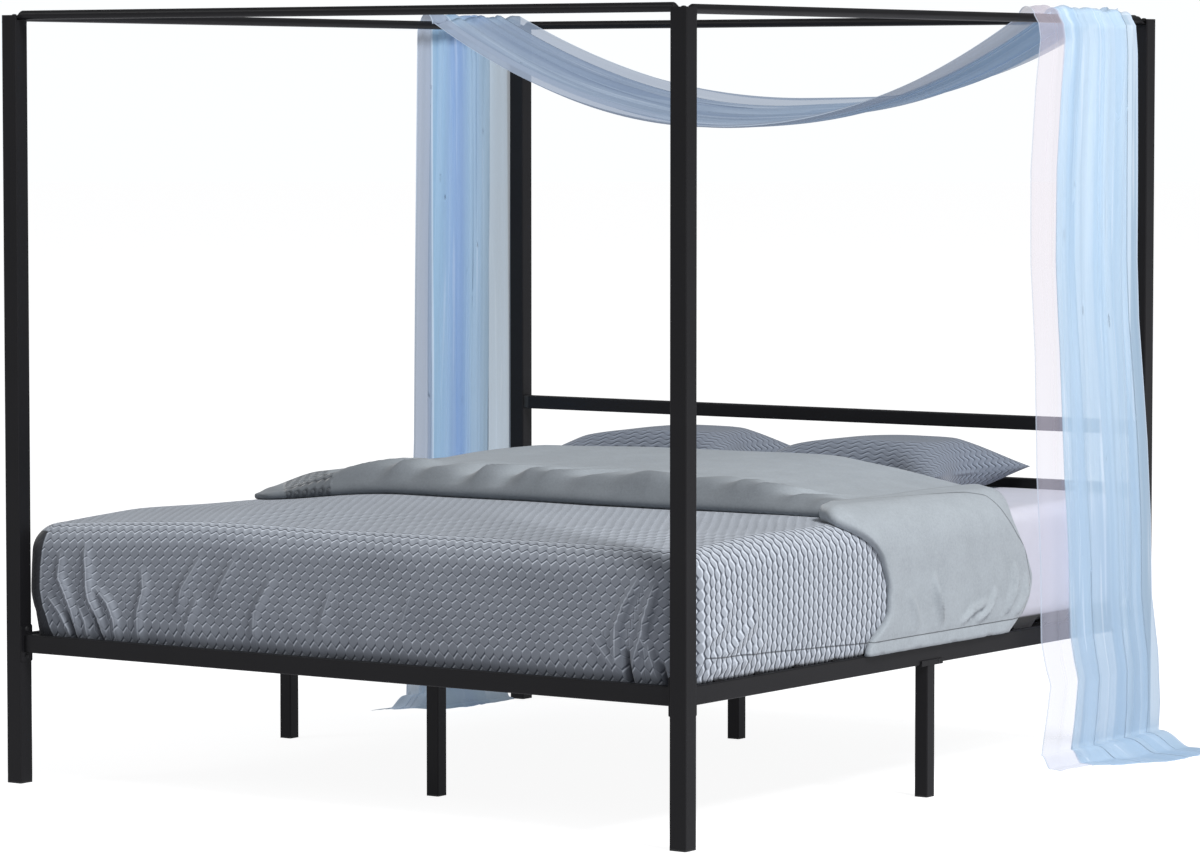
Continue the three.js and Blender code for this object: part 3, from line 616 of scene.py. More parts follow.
class Shell:
    """The surface of a loose box with soft edges, over the mattress: its top, and what falls from it."""

    def __init__(self, half_width, top, bottom, edge):
        self.top, self.edge = top, edge
        self.flat_side = half_width - edge
        self.bend = edge * pi / 2  # cloth in the rounded edge
        self.drop = self.bend + top - edge - bottom

    def fall(self, drop):
        """How far out and down the cloth is, and which way it faces, at a run of cloth past the edge."""
        angle = np.clip(drop / self.edge, 0.0, pi / 2)
        below = np.maximum(drop - self.bend, 0.0)
        tilt, lift = np.sin(angle), np.cos(angle)
        return self.edge * tilt, self.edge * (1 - lift) + below, tilt, lift


def quads(rows, columns, start=0, closed=False):
    """The faces of a grid of places, whose rows close into rings or not."""
    faces = []
    for row in range(rows - 1):
        for column in range(columns - (not closed)):
            a, b = [start + row * columns + c % columns for c in (column, column + 1)]
            faces.append((a, b, b + columns, a + columns))
    return faces


def soft_piece(name, places, faces, cut, doubles=0.0, turned=True):
    """A piece of places and faces, selected on its own, and where on the cut cloth each place is in its UV.
    Its doubles are merged and its faces turned outwards."""
    mesh = bpy.data.meshes.new(name)
    mesh.from_pydata(places.tolist(), [], faces)
    corners = np.empty(len(mesh.loops), int)
    mesh.loops.foreach_get("vertex_index", corners)
    mesh.uv_layers.new(name="cut").data.foreach_set("uv", cut[corners].ravel())
    piece = bpy.data.objects.new(name, mesh)
    bpy.context.scene.collection.objects.link(piece)
    deselect()
    bpy.context.view_layer.objects.active = piece
    piece.select_set(True)
    bpy.ops.object.mode_set(mode="EDIT")
    bpy.ops.mesh.select_all(action="SELECT")
    if doubles:
        bpy.ops.mesh.remove_doubles(threshold=doubles)
    if turned:
        bpy.ops.mesh.normals_make_consistent(inside=False)
    bpy.ops.object.mode_set(mode="OBJECT")
    bpy.ops.object.shade_smooth()
    return piece


def grid(*parts):
    """Places in rows and columns, from values that vary along rows, down columns or both."""
    return np.dstack(np.broadcast_arrays(*parts))


def sheet_piece(name, patches):
    """One piece from grids of (points, cut), each an array of rows by columns, joined where they meet."""
    faces, start = [], 0
    for points, _ in patches:
        faces += quads(*points.shape[:2], start)
        start += points.shape[0] * points.shape[1]
    places, cut = [np.vstack([patch[part].reshape(-1, 3 - part) for patch in patches]) for part in (0, 1)]
    return soft_piece(name, places, faces, cut, 0.0002)


def tell(piece, **values):
    """Values put on a piece's vertices under names that its material reads."""
    for name, value in values.items():
        piece.data.attributes.new(name, "FLOAT", "POINT").data.foreach_set("value", value)


def off_line(points, path):
    """How far places are off a line through several, above 0 on its left, and how far along it, 0 to 1."""
    path = np.array(path, float)
    lengths = np.linalg.norm(np.diff(path, axis=0), axis=1)
    off, way_along = np.full(len(points), 9.0), np.zeros(len(points))
    run = 0.0
    for a, b, length in zip(path[:-1], path[1:], lengths):
        share = np.clip(((points - a) @ (b - a)) / length**2, 0.0, 1.0)
        away = np.linalg.norm(points - (a + share[:, None] * (b - a)), axis=1)
        turn = (b - a)[0] * (points - a)[:, 1] - (b - a)[1] * (points - a)[:, 0]
        nearer = away < np.abs(off)
        off[nearer] = np.where(turn < 0, -away, away)[nearer]
        way_along[nearer] = ((run + share * length) / lengths.sum())[nearer]
        run += length
    return off, np.clip(way_along, 0.0, 1.0)


def beside_lines(points, lines, opening=False):
    """How far places are off the nearest of some lines, and how strong that line is there."""
    off, strength = np.full(len(points), 0.09), np.zeros(len(points))
    for path, _, depth in lines:
        way, way_along = off_line(points, path)
        fade = way_along if opening else np.sin(pi * way_along) ** 0.5
        nearer = np.abs(way) < np.abs(off)
        off[nearer] = way[nearer]
        strength[nearer] = (fade * np.clip(depth / 0.015, 0.0, 1.0))[nearer]
    return off, strength


def crease(points, path, width, depth, sharp=1.0):
    """How high a ridge along a path of places stands, which fades at its ends."""
    off, way_along = off_line(points, path)
    return depth * np.maximum(1 - np.abs(off) / width, 0.0) ** (1 + sharp) * np.sin(pi * way_along) ** 0.5


QUILT_THICKNESS = 0.006
QUILT_HEAD = 0.353  # its head end is hidden under the turned-back coverlet
quilt_low, quilt_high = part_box("quilt")
bed = Shell(
    half_width=quilt_high[0] - QUILT_THICKNESS / 2,
    top=quilt_high[2] - QUILT_THICKNESS / 2,
    bottom=slat_top + 0.0007,
    edge=0.062,
)
flat_side = bed.flat_side
flat_foot = quilt_low[1] + QUILT_THICKNESS / 2 + bed.edge
columns = np.linspace(-flat_side, flat_side, 226)
rows = np.linspace(flat_foot, QUILT_HEAD, 112)
turns = np.linspace(0.0, pi / 2, 25)
drops = np.linspace(0.0, bed.drop, 42)
out, down = [value[:, None] for value in bed.fall(drops)[:2]]
drops = drops[:, None]

patches = [
    (grid(columns, rows[:, None], bed.top), grid(columns, rows[:, None])),
    (grid(columns, flat_foot - out, bed.top - down), grid(columns, flat_foot - drops)),
]
for side in (-1, 1):
    points = grid(side * (flat_side + out), rows, bed.top - down)
    patches.append((points, grid(side * (flat_side + drops), rows)))
    # each corner is two patches of cloth, cut on with the side and with the foot
    for turn in (turns[:13], turns[12:]):
        points = grid(side * (flat_side + out * np.cos(turn)), flat_foot - out * np.sin(turn), bed.top - down)
        if turn[0] == 0.0:
            cut = grid(side * (flat_side + drops), flat_foot - bed.edge * turn)
        else:
            cut = grid(side * (flat_side + bed.edge * (pi / 2 - turn)), flat_foot - drops)
        patches.append((points, cut))
quilt = sheet_piece("quilted_coverlet", patches)

points = read_vertices(quilt)
past_side = np.maximum(np.abs(points[:, 0]) - flat_side, 0.0)
past_foot = np.maximum(flat_foot - points[:, 1], 0.0)
past = np.hypot(past_side, past_foot)
tilted = np.clip(past / bed.edge, 0.0, 1.0)
side_face = past_side / np.maximum(past, 1e-9) * tilted
foot_face = past_foot / np.maximum(past, 1e-9) * tilted
level_face = np.sqrt(np.maximum(1 - tilted**2, 0.0))
outward = np.column_stack([np.sign(points[:, 0]) * side_face, -foot_face, level_face])

on_foot, on_side = points[:, (0, 2)], points[:, (1, 2)]
swell = 0.004 * wander(points, 2.6, 11) + 0.0022 * wander(points, 7.0, 12) * (0.4 + 0.6 * tilted)
swell += 0.010 * np.sin(pi * np.clip((points[:, 2] - 0.37) / 0.28, 0, 1)) * tilted * 0.5
slanted = np.column_stack([points[:, 0] + 0.35 * points[:, 2], points[:, 1], 0.25 * points[:, 2]])
swell += 0.0035 * np.abs(wander(slanted, 11.0, 13)) * foot_face * smooth(0.60, 0.38, points[:, 2])
# each as its places across and up, its width and its height
foot_creases = (
    (((-0.843, 0.601), (-0.847, 0.532), (-0.827, 0.485), (-0.803, 0.423), (-0.790, 0.360)), 0.030, 0.016),
    (((-0.766, 0.625), (-0.757, 0.542), (-0.751, 0.468), (-0.720, 0.406), (-0.700, 0.355)), 0.032, 0.018),
    (((-0.735, 0.500), (-0.693, 0.455), (-0.675, 0.409), (-0.676, 0.355)), 0.026, 0.014),
    (((-0.889, 0.470), (-0.851, 0.430), (-0.820, 0.390), (-0.811, 0.350)), 0.024, 0.013),
    (((-0.789, 0.444), (-0.765, 0.404), (-0.759, 0.350)), 0.022, 0.011),
    (((-0.592, 0.560), (-0.583, 0.504), (-0.603, 0.434), (-0.607, 0.360)), 0.030, 0.011),
    (((-0.410, 0.595), (-0.468, 0.505), (-0.482, 0.438)), 0.028, 0.009),
    (((-0.418, 0.486), (-0.468, 0.385)), 0.028, 0.008),
    (((-0.307, 0.593), (-0.374, 0.479)), 0.030, 0.008),
    (((-0.192, 0.555), (-0.249, 0.455), (-0.255, 0.390)), 0.030, 0.009),
    (((-0.02, 0.53), (-0.06, 0.42)), 0.034, 0.006),
    (((0.22, 0.55), (0.17, 0.41)), 0.034, 0.005),
    (((0.840, 0.610), (0.804, 0.544), (0.783, 0.487), (0.778, 0.400)), 0.026, 0.015),
    (((0.885, 0.600), (0.861, 0.516), (0.853, 0.471), (0.823, 0.400)), 0.026, 0.015),
    (((0.714, 0.462), (0.782, 0.390)), 0.022, 0.010),
    (((0.866, 0.450), (0.886, 0.385)), 0.020, 0.009),
)
side_creases = (
    (((-0.990, 0.400), (-0.850, 0.432), (-0.764, 0.489), (-0.776, 0.550)), 0.030, 0.010),
    (((-0.960, 0.385), (-0.800, 0.400), (-0.700, 0.450)), 0.026, 0.008),
    (((-0.985, 0.450), (-0.900, 0.480), (-0.850, 0.560)), 0.030, 0.008),
)
foot_pleats = (
    (((0.808, 0.440), (0.809, 0.400), (0.813, 0.345)), 0.011, 0.020),
    (((0.900, 0.415), (0.907, 0.385), (0.914, 0.345)), 0.010, 0.016),
    (((-0.830, 0.430), (-0.806, 0.390), (-0.797, 0.340)), 0.010, 0.010),
    (((-0.742, 0.430), (-0.722, 0.380), (-0.716, 0.340)), 0.010, 0.010),
)
for path, width, depth in foot_creases:
    swell += crease(on_foot, path, 0.9 * width, 0.9 * depth) * foot_face
for path, width, depth in side_creases:
    swell += crease(on_side, path, width, depth) * side_face
hem_way = on_side[:, 1] - np.interp(on_side[:, 0], (-1.0, -0.61, -0.20), (0.419, 0.404, 0.388))
swell -= 0.0025 * np.maximum(1 - np.abs(hem_way) / 0.010, 0.0) * side_face
# painted shade, darkest in the middle of each pleat
pleat_shade = np.zeros(len(points))
for path, width, depth in foot_pleats:
    groove = crease(on_foot, path, width, depth, 0.0) * foot_face
    swell -= groove
    pleat_shade = np.maximum(pleat_shade, groove / depth)

# at the left foot corner a fold is painted dark as in shade, up to an edge with a painted highlight
corner_edge = np.interp(
    points[:, 2], (0.365, 0.43, 0.49, 0.56, 0.62), (-0.874, -0.905, -0.912, -0.911, -0.905)
)
corner_way = np.minimum(corner_edge - points[:, 0], bed.edge * np.minimum(tilted - 0.65, foot_face - 0.35))
crease_way, creased = beside_lines(on_foot, foot_creases)
crease_way *= np.where(points[:, 0] < 0, 1, -1)
side_way, side_creased = beside_lines(on_side, side_creases)
on_the_side = (side_face > foot_face) & (points[:, 0] > 0)
pleat_way, opened = beside_lines(on_foot, foot_pleats, opening=True)
hem_way = np.where(points[:, 0] > 0, hem_way, 1.0) + 0.5 * (1 - side_face)

points += outward * swell[:, None]
points[:, 2] -= settled(points)
points[:, 0] += drawn_in(points)
side_tuck = side_face**2 * smooth(0.385, 0.366, points[:, 2])
points[:, 0] -= np.sign(points[:, 0]) * 0.005 * side_tuck
points[:, 2] -= 0.0031 * side_tuck * smooth(0.010, 0.018, off_slats(points))
loose = foot_face**2 * smooth(0.42, 0.365, points[:, 2])  # the tuck hangs a little below the mattress
points[:, 2] -= 0.014 * loose
points[:, 1] += 0.010 * loose**3
place_vertices(quilt, points)
tell(
    quilt,
    fold=pleat_shade,
    hem=hem_way,
    crease=np.where(on_the_side, side_way, crease_way),
    creased=np.where(on_the_side, 0.5 * side_creased * side_face, creased * foot_face**2),
    pleat=pleat_way / np.maximum(opened * foot_face**2, 0.02),
    corner=corner_way,
    pulled=1 - foot_face,
    top=level_face**2,
)
thicken = quilt.modifiers.new("wadding", "SOLIDIFY")
thicken.thickness = QUILT_THICKNESS
thicken.offset = 0.0
bpy.ops.object.modifier_apply(modifier="wadding")
quilt.data.materials.append(quilt_cloth)
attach(quilt, "root")
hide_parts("quilt")
2 * (flat_side + bed.drop)
QUILT_HEAD - flat_foot + bed.drop

# ----------------------------------------
# Turned-back coverlet: the head end of a second, filled one, folded back so that its plain reverse shows, as
# a thick soft band across the bed. Its right end is a flap with a hemmed edge that falls down the side; a
# scrap of its quilted face shows at the left end. It lies loose.
# ----------------------------------------
plain_cloth, shader, place = new_material("plain brushed microfibre")
quilted = (place.told("face") * 250.0).maths("SMOOTH_MAX", 0.0, 0.1).maths("MINIMUM", 1.0)
puff = wavy_quilting(place.make("ShaderNodeUVMap"))
nap = place.noise(600.0, 3.0)
soft = place.noise(14.0, 4.0, 0.55)
mottle = place.noise(170.0, 3.0, 0.7)
nearest = place.told("hem").maths("ABSOLUTE").maths("MINIMUM", 1.4 * place.told("seam").maths("ABSOLUTE"))
thread = (1.0 - nearest * 420.0).maths("MAXIMUM", 0.0)
tone = (0.45 + 0.22 * soft + 0.12 * nap + 0.34 * mottle) * (1 - quilted * (0.75 - 0.45 * puff))
# painted shade: where "brushed" is high, the front of the band and its left end are painted darker
tone = tone * (1 - 0.8 * thread) * (1 - 0.50 * place.told("brushed"))
connect(
    shader,
    Base_Color=tone.mix((0.03, 0.034, 0.042), (0.39, 0.43, 0.465)),
    Roughness=0.8,
    Specular_IOR_Level=0.2,
    Sheen_Weight=0.3,
    Sheen_Roughness=0.4,
    Normal=(0.5 * soft + 0.04 * nap + quilted * puff - 0.4 * thread).bump(0.8, 0.005),
)

over = Shell(
    half_width=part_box("duvet")[1][0] - 0.014, top=quilt_high[2] + 0.0005, bottom=slat_top + 0.001, edge=0.066
)
over_flat = over.flat_side
run = np.linspace(-over_flat - over.drop, over_flat + over.drop, 340)
past = np.maximum(np.abs(run) - over_flat, 0.0)
out, down, tilt, lift = over.fall(past)
level = over.top - down  # height of the bed under each place across
right = run > 0

# where the foot edge and the head edge run: on top by place across, on the sides by height
foot_top = np.interp(
    run,
    (-0.99, -0.94, -0.85, 0.0, 0.822, 0.850, 0.88, 0.925),
    (-0.13, -0.18, -0.225, -0.222, -0.228, -0.305, -0.33, -0.37),
)
foot_side = np.interp(
    level,
    (0.368, 0.394, 0.443, 0.517, 0.592, 0.620, 0.647, 0.667),
    (-0.300, -0.285, -0.206, -0.201, -0.238, -0.273, -0.326, -0.370),
)
head_top = np.interp(run, (-0.97, -0.80, 0.0, 0.80, 0.93), (0.46, 0.535, 0.555, 0.535, 0.40))
head_side = np.interp(
    level, (0.368, 0.395, 0.432, 0.487, 0.556, 0.634, 0.667), (0.355, 0.415, 0.451, 0.470, 0.435, 0.375, 0.40)
)
foot_edge = np.where(past > 0.03, np.where(right, foot_side, -0.13), foot_top)
head_edge = np.where(past > 0.03, np.where(right, head_side, 0.46), head_top)
head_edge = head_edge + 0.012 * np.sin(run * 21.0) * (past <= 0.03)
for edge in (foot_edge, head_edge):
    edge[2:-2] = np.convolve(edge, np.ones(5) / 5, "valid")
sideways = smooth(-over_flat - 0.04, -0.45, run) * smooth(over_flat + 0.04, 0.38, run)
flap = smooth(0.835, 0.852, run)
roll = 0.010 + 0.007 * flap * (1 - tilt) - 0.003 * tilt  # radius of the rolled edges
roll = roll - (0.003 + 0.002 * tilt) * smooth(-0.70, -0.90, run)

# a loop round the band at each place across: its foot roll, its upper face, its head roll and its underside
loops = []
for r, start, end in zip(roll, foot_edge, head_edge):
    turn = np.linspace(0.0, pi, 9)
    foot_roll = np.column_stack([start + r - r * np.sin(turn), r * (1 - np.cos(turn))])
    head_roll = np.column_stack([end - r + r * np.sin(turn), r * (1 + np.cos(turn))])
    face = np.column_stack([np.linspace(start + r, end - r, 112)[1:-1], np.full(110, 2 * r)])
    under = np.column_stack([np.linspace(end - r, start + r, 22)[1:-1], np.zeros(20)])
    loops.append(np.vstack([foot_roll, face, head_roll, under]))
along, high = np.moveaxis(np.array(loops), 2, 0)
shape = count_across, count = along.shape
across = np.repeat(run[:, None], count, 1)
spots = np.column_stack([across.ravel(), along.ravel(), np.zeros(across.size)])
flat_spots = spots[:, :2]
side_height = np.repeat(level[:, None], count, 1)
from_foot = along - foot_edge[:, None]
from_head = head_edge[:, None] - along
upper = np.clip(high / (2 * roll[:, None]), 0.0, 1.0)

# the filling, the slanted wrinkles behind the foot roll and the creases of the flap, in that order
swell = sideways[:, None] * (
    0.042 * smooth(-0.015, 0.050, from_foot)
    + (0.018 + 0.008 * smooth(-0.5, 0.0, across)) * smooth(0.04, 0.62, from_foot)
) * smooth(-0.012, 0.10, from_head)
swell += 0.006 * smooth(0.0, 0.05, from_foot) * smooth(0.0, 0.05, from_head)
full = smooth(0.01, 0.26, from_foot) * smooth(-0.012, 0.10, from_head) * (1 - 0.85 * tilt)[:, None]
swell += 0.036 * smooth(-0.62, -0.86, across) * full  # its left end is full
bent = spots + wander(spots, 4.0, 21)[:, None] * (0.05, 0.03, 0.0)
slanted = np.column_stack([bent[:, 0] - 0.55 * (bent[:, 1] + 0.23), 0.32 * bent[:, 1], bent[:, 2]])
ridges = np.clip(1 - np.abs(wander(slanted, 8.0, 23)) * 3.2, -1.0, 1.0).reshape(shape)
puffs = wander(bent * (1.0, 0.6, 1.0), 6.0, 25).reshape(shape)
front = smooth(0.0, 0.03, from_foot) * smooth(0.26, 0.07, from_foot) * (np.abs(across) < over_flat)
front *= smooth(0.86, 0.76, across) * (0.35 + 0.65 * smooth(-0.85, -0.55, across))
swell += front * (0.016 * ridges + 0.014 * puffs)
swell += 0.004 * wander(spots, 3.2, 27).reshape(shape)
swell += 0.006 * smooth(0.05, 0.01, from_foot) * smooth(0.5, 1.0, tilt)[:, None] * right[:, None]

SEAM_HEIGHT = 0.393  # the line of stitches above the flap's lower edge
on_right = (across > over_flat + 0.05).ravel()
place_on_side = np.column_stack([along.ravel(), side_height.ravel()])
wrinkles = (
    (((-0.01, 0.53), (0.00, 0.480), (0.03, 0.412)), 0.024, 0.008),
    (((0.115, 0.404), (0.159, 0.431), (0.240, 0.446)), 0.018, 0.007),
    (((0.285, 0.475), (0.24, 0.43), (0.190, 0.404)), 0.020, 0.008),
    (((0.372, 0.530), (0.362, 0.475), (0.330, 0.412)), 0.022, 0.009),
    (((0.425, 0.500), (0.415, 0.45), (0.380, 0.405)), 0.018, 0.007),
    (((-0.13, 0.50), (-0.10, 0.46), (-0.08, 0.41)), 0.030, 0.004),
)
for path, width, depth in wrinkles:
    swell += (crease(place_on_side, path, 0.85 * width, 2.4 * depth) * on_right).reshape(shape)
seam = np.maximum(1 - np.abs(side_height - SEAM_HEIGHT) / 0.008, 0.0) * (tilt[:, None] > 0.9)
swell -= 0.003 * seam
swell += 0.003 * smooth(0.392, 0.380, side_height) * wander(spots, 26.0, 29).reshape(shape)
high = high + swell * upper**0.5

out_at = np.sign(across) * (over_flat + out[:, None] + high * tilt[:, None])
x = np.where(past[:, None] > 0, out_at, across)
z = level[:, None] + high * lift[:, None]
points = np.dstack([x, along, z]).reshape(-1, 3)
points[:, 2] -= settled(points)
points[:, 2] -= 0.006 * smooth(0.44, 0.48, points[:, 1]) * smooth(0.63, 0.66, points[:, 2])
on_rail = smooth(0.385, 0.367, side_height).ravel()
points[:, 2] -= 0.0033 * on_rail * smooth(0.010, 0.018, off_slats(points))

faces = quads(count_across, count, closed=True)
faces.append(tuple(range(count - 1, -1, -1)))
faces.append(tuple((count_across - 1) * count + c for c in range(count)))
duvet = soft_piece("turned_back_coverlet", points, faces, flat_spots)

# the hem goes down the flap and turns up again towards the head: first on top, then by its height on the side
hem_path = [(0.845, -0.40), (0.850, -0.285), (0.866, -0.15), (0.885, 0.0), (0.905, 0.12), (0.915, 0.25)]
hem_path.append((0.93, 0.31))
hem_on_side = ((0.337, 0.640), (0.426, 0.564), (0.450, 0.484), (0.433, 0.432), (0.408, 0.393), (0.37, 0.340))
hem_path += [(over_flat + over.bend + over.top - over.edge - height, y) for y, height in hem_on_side]
scrap_path = ((-0.70, -0.26), (-0.73, -0.20), (-0.845, -0.068), (-0.873, 0.006), (-0.870, 0.13))
scrap_half = np.interp(
    flat_spots[:, 1], (-0.25, -0.20, -0.07, 0.0, 0.13, 0.15), (0.063, 0.063, 0.058, 0.040, 0.006, -0.1)
)
# painted shade on the front of the band behind its foot roll and, less, on its left end
brushed = (smooth(0.105, 0.015, from_foot - 0.035 * ridges) * (tilt[:, None] < 0.6)).ravel()
brushed = brushed * smooth(0.865, 0.80, flat_spots[:, 0])
tell(
    duvet,
    hem=off_line(flat_spots, hem_path)[0],
    seam=np.where(points[:, 0] > 0, side_height.ravel() - SEAM_HEIGHT, 1.0),
    face=np.maximum(scrap_half - np.abs(off_line(flat_spots, scrap_path)[0]), 0.0),
    brushed=np.maximum(brushed, 0.45 * smooth(-0.45, -0.90, flat_spots[:, 0])),
)
duvet.data.materials.append(plain_cloth)
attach(duvet, "root")
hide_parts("duvet")

# ----------------------------------------
# Pillows: two polyester-filled pillows in knife-edged shams of the same quilted cloth, lying flat side by
# side at the head. Each is two panels sewn all round and blown up by its filling, so that the corners stay
# pointed and the panels draw in between them.
# ----------------------------------------
sham_tones = (0.045, 0.053, 0.07), (0.25, 0.28, 0.335)
sham_cloth = quilted_microfibre("wave quilted sham", *sham_tones, 0.0185, 0.038, 0.55, False, relief=0.9)
PANEL_COLUMNS, PANEL_ROWS = 75, 53  # of places
FILLING_STEPS = 20


def sham_pillow(name, node, turn):
    """Two panels sewn together round the edge, filled, and set down on the mattress."""
    low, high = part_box(node)
    middle, size = (low + high) / 2, high - low
    size[0] -= 0.030  # a little shorter than its box, and both lie towards the middle of the bed
    middle[0] += 0.030 if middle[0] < 0 else -0.014
    length, width = size[0] * 1.06, size[1] * 1.07  # of the empty sham, which the filling draws in
    u, v = np.linspace(-1, 1, PANEL_COLUMNS), np.linspace(-1, 1, PANEL_ROWS)[:, None]
    panels, faces = [], []
    bulge = 0.022 * (1 - u**4) * (1 - v**4)
    for side in (1, -1):
        panels.append(grid(u * length / 2, v * width / 2, side * bulge).reshape(-1, 3))
        faces += [quad[::side] for quad in quads(PANEL_ROWS, PANEL_COLUMNS, (side < 0) * u.size * v.size)]
    cut = np.vstack([panels[0][:, :2], panels[1][:, :2] + (3, 0)])
    pillow = soft_piece(name, np.vstack(panels), faces, cut, 0.0002, turned=False)
    before = read_vertices(pillow)
    cloth = pillow.modifiers.new("filling", "CLOTH")
    cloth.settings.quality = 6
    cloth.settings.mass = 0.2
    cloth.settings.tension_stiffness = cloth.settings.compression_stiffness = 6
    cloth.settings.shear_stiffness = 2
    cloth.settings.bending_stiffness = 1.5
    cloth.settings.use_pressure = True
    cloth.settings.uniform_pressure_force = 4.0
    cloth.settings.effector_weights.gravity = 0.0
    cloth.point_cache.frame_start, cloth.point_cache.frame_end = 1, FILLING_STEPS
    for moment in range(1, FILLING_STEPS + 1):
        bpy.context.scene.frame_set(moment)
    bpy.ops.object.modifier_apply(modifier="filling")
    bpy.context.scene.frame_set(1)
    even = pillow.modifiers.new("even", "SMOOTH")
    even.factor, even.iterations = 0.5, 150
    bpy.ops.object.modifier_apply(modifier="even")
    moved = read_vertices(pillow) - before
    reach = np.maximum(np.linalg.norm(moved, axis=1), 1e-9)
    points = before + moved * np.minimum(1.0, 0.11 / reach)[:, None]
    share = 2 * points[:, :2] / (length, width)

    # along the pillow it is fullest a little past its middle, and falls off steeply to the right of that
    from_crest = share[:, 0] - 0.12
    from_crest = np.clip(from_crest / np.where(from_crest > 0, 0.88, 1.12), -1, 1)
    steep = (1 - 0.99 * np.abs(from_crest) ** 2.5) ** 0.5
    gentle = (1 - 0.98 * np.abs(from_crest) ** 1.9) ** 0.8
    points[:, 2] *= np.where(from_crest > 0, steep, gentle)
    points[:, 2] *= size[2] * 1.02 / np.ptp(points[:, 2])
    points[:, 2] *= np.where(points[:, 2] > 0, 1.42, 1.0)  # the seam lies low
    points[:, 2] -= 0.030 * (1 - np.minimum(np.abs(share[:, 0]), 1.0) ** 2.5)
    points[:, 2] -= 0.022 * smooth(-0.2, -1.0, share[:, 0])
    points[:, 2] += 0.0035 * wander(points * (1, 1, 0.5), 5.5, len(name)) * (1 - share[:, 0] ** 4)
    points[:, 2] -= 0.010 * smooth(0.55, 1.0, np.abs(share[:, 0]) * np.abs(share[:, 1]))  # pointed corners
    points[:, :2] *= (size[0], size[1]) / np.ptp(points[:, :2], axis=0)
    under = np.minimum(points[:, 2] + 0.44 * size[2], 0.0)
    points[:, 2] -= under * 0.92  # pressed flat where it lies on the mattress
    points[:, 2] -= points[:, 2].min()
    turned = np.array(Matrix.Rotation(turn, 3, "Z"))
    place_vertices(pillow, points @ turned.T + (middle[0], middle[1], low[2] + 0.0005))
    soften = pillow.modifiers.new("soften", "SUBSURF")
    soften.levels = soften.render_levels = 1
    bpy.ops.object.modifier_apply(modifier="soften")
    bpy.ops.object.shade_smooth()
    pillow.data.materials.append(sham_cloth)
    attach(pillow, "root")
    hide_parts(node)


sham_pillow("sham_pillow_left", "pillow_left", radians(1.0))
sham_pillow("sham_pillow_right", "pillow_right", radians(-1.5))

# ----------------------------------------
# Drape: one long scarf of polyester voile, about 1.4 by 6.3 m, thrown over both side canopy rails so that it
# swags between them and falls outside them to the floor. It lies in flat overlapping pleats. The cloth is
# pale blue, with a border down its front edge so pale that one layer of it looks white.
# ----------------------------------------
SCARF_WIDTH = 1.40
BORDER = 0.128
HEM = 0.007

voile, shader, cut = new_material("polyester voile", "UV")
along_cloth, across_cloth = cut.parts()[:2]
thin = cut.make("ShaderNodeCombineXYZ", {"X": along_cloth * 0.55, "Y": across_cloth * 13.0})
streak = thin.noise(1.0, 4.0, 0.6)
sideways, backwards, upwards = cut.make("ShaderNodeTexCoord", out="Object").parts()
right_fall = sideways.between(0.90, 0.985)
left_fall = (sideways * -1.0).between(0.90, 0.985)
low = upwards.between(1.3, 0.05)
border = across_cloth.between(BORDER + 0.004, BORDER - 0.004)
hems = across_cloth.maths("LESS_THAN", HEM) + across_cloth.maths("GREATER_THAN", SCARF_WIDTH - HEM)
blues_to_rear = (
    (0.00, (0.19, 0.20, 0.27)),
    (0.07, (0.19, 0.21, 0.28)),
    (0.11, (0.17, 0.22, 0.30)),
    (0.19, (0.18, 0.23, 0.31)),
    (0.205, (0.40, 0.48, 0.56)),
    (0.22, (0.19, 0.30, 0.41)),
    (0.34, (0.20, 0.30, 0.42)),
    (0.44, (0.14, 0.23, 0.39)),
    (0.50, (0.13, 0.22, 0.39)),
    (0.60, (0.20, 0.29, 0.39)),
    (0.68, (0.19, 0.27, 0.36)),
    (0.75, (0.17, 0.24, 0.31)),
    (1.00, (0.15, 0.20, 0.25)),
)
left_blue = backwards.between(0.59, 1.03).ramp(*blues_to_rear)
left_blue = (0.25 * streak.ramp((0.4, 0.0), (0.7, 1.0))).mix(left_blue, (0.36, 0.43, 0.50))
# painted shade: the swag, seen from below, is given a darker blue than the falls, and lighter towards its
# right end
swag_blue = streak.ramp((0.35, 0.0), (0.62, 1.0)).mix((0.13, 0.17, 0.24), (0.22, 0.27, 0.34))
swag_blue = (0.6 * sideways.between(-0.1, 0.9)).mix(swag_blue, (0.20, 0.29, 0.40))
right_blue = streak.ramp((0.35, 0.0), (0.65, 1.0)).mix((0.27, 0.37, 0.475), (0.37, 0.46, 0.545))
right_blue = (0.6 * low).mix(right_blue, (0.22, 0.30, 0.40))
pale = right_fall.mix((0.20, 0.24, 0.31), (0.44, 0.40, 0.46))
pale = (0.8 * low * right_fall).mix(pale, (0.34, 0.38, 0.48))
gleam = thin.noise(3.1, 1.0).ramp((0.62, 0.0), (0.72, 1.0)) * (0.15 + 0.2 * right_fall)
far_edge = 0.4 * across_cloth.between(1.20, 1.36) * (1 - right_fall) * (1 - left_fall)
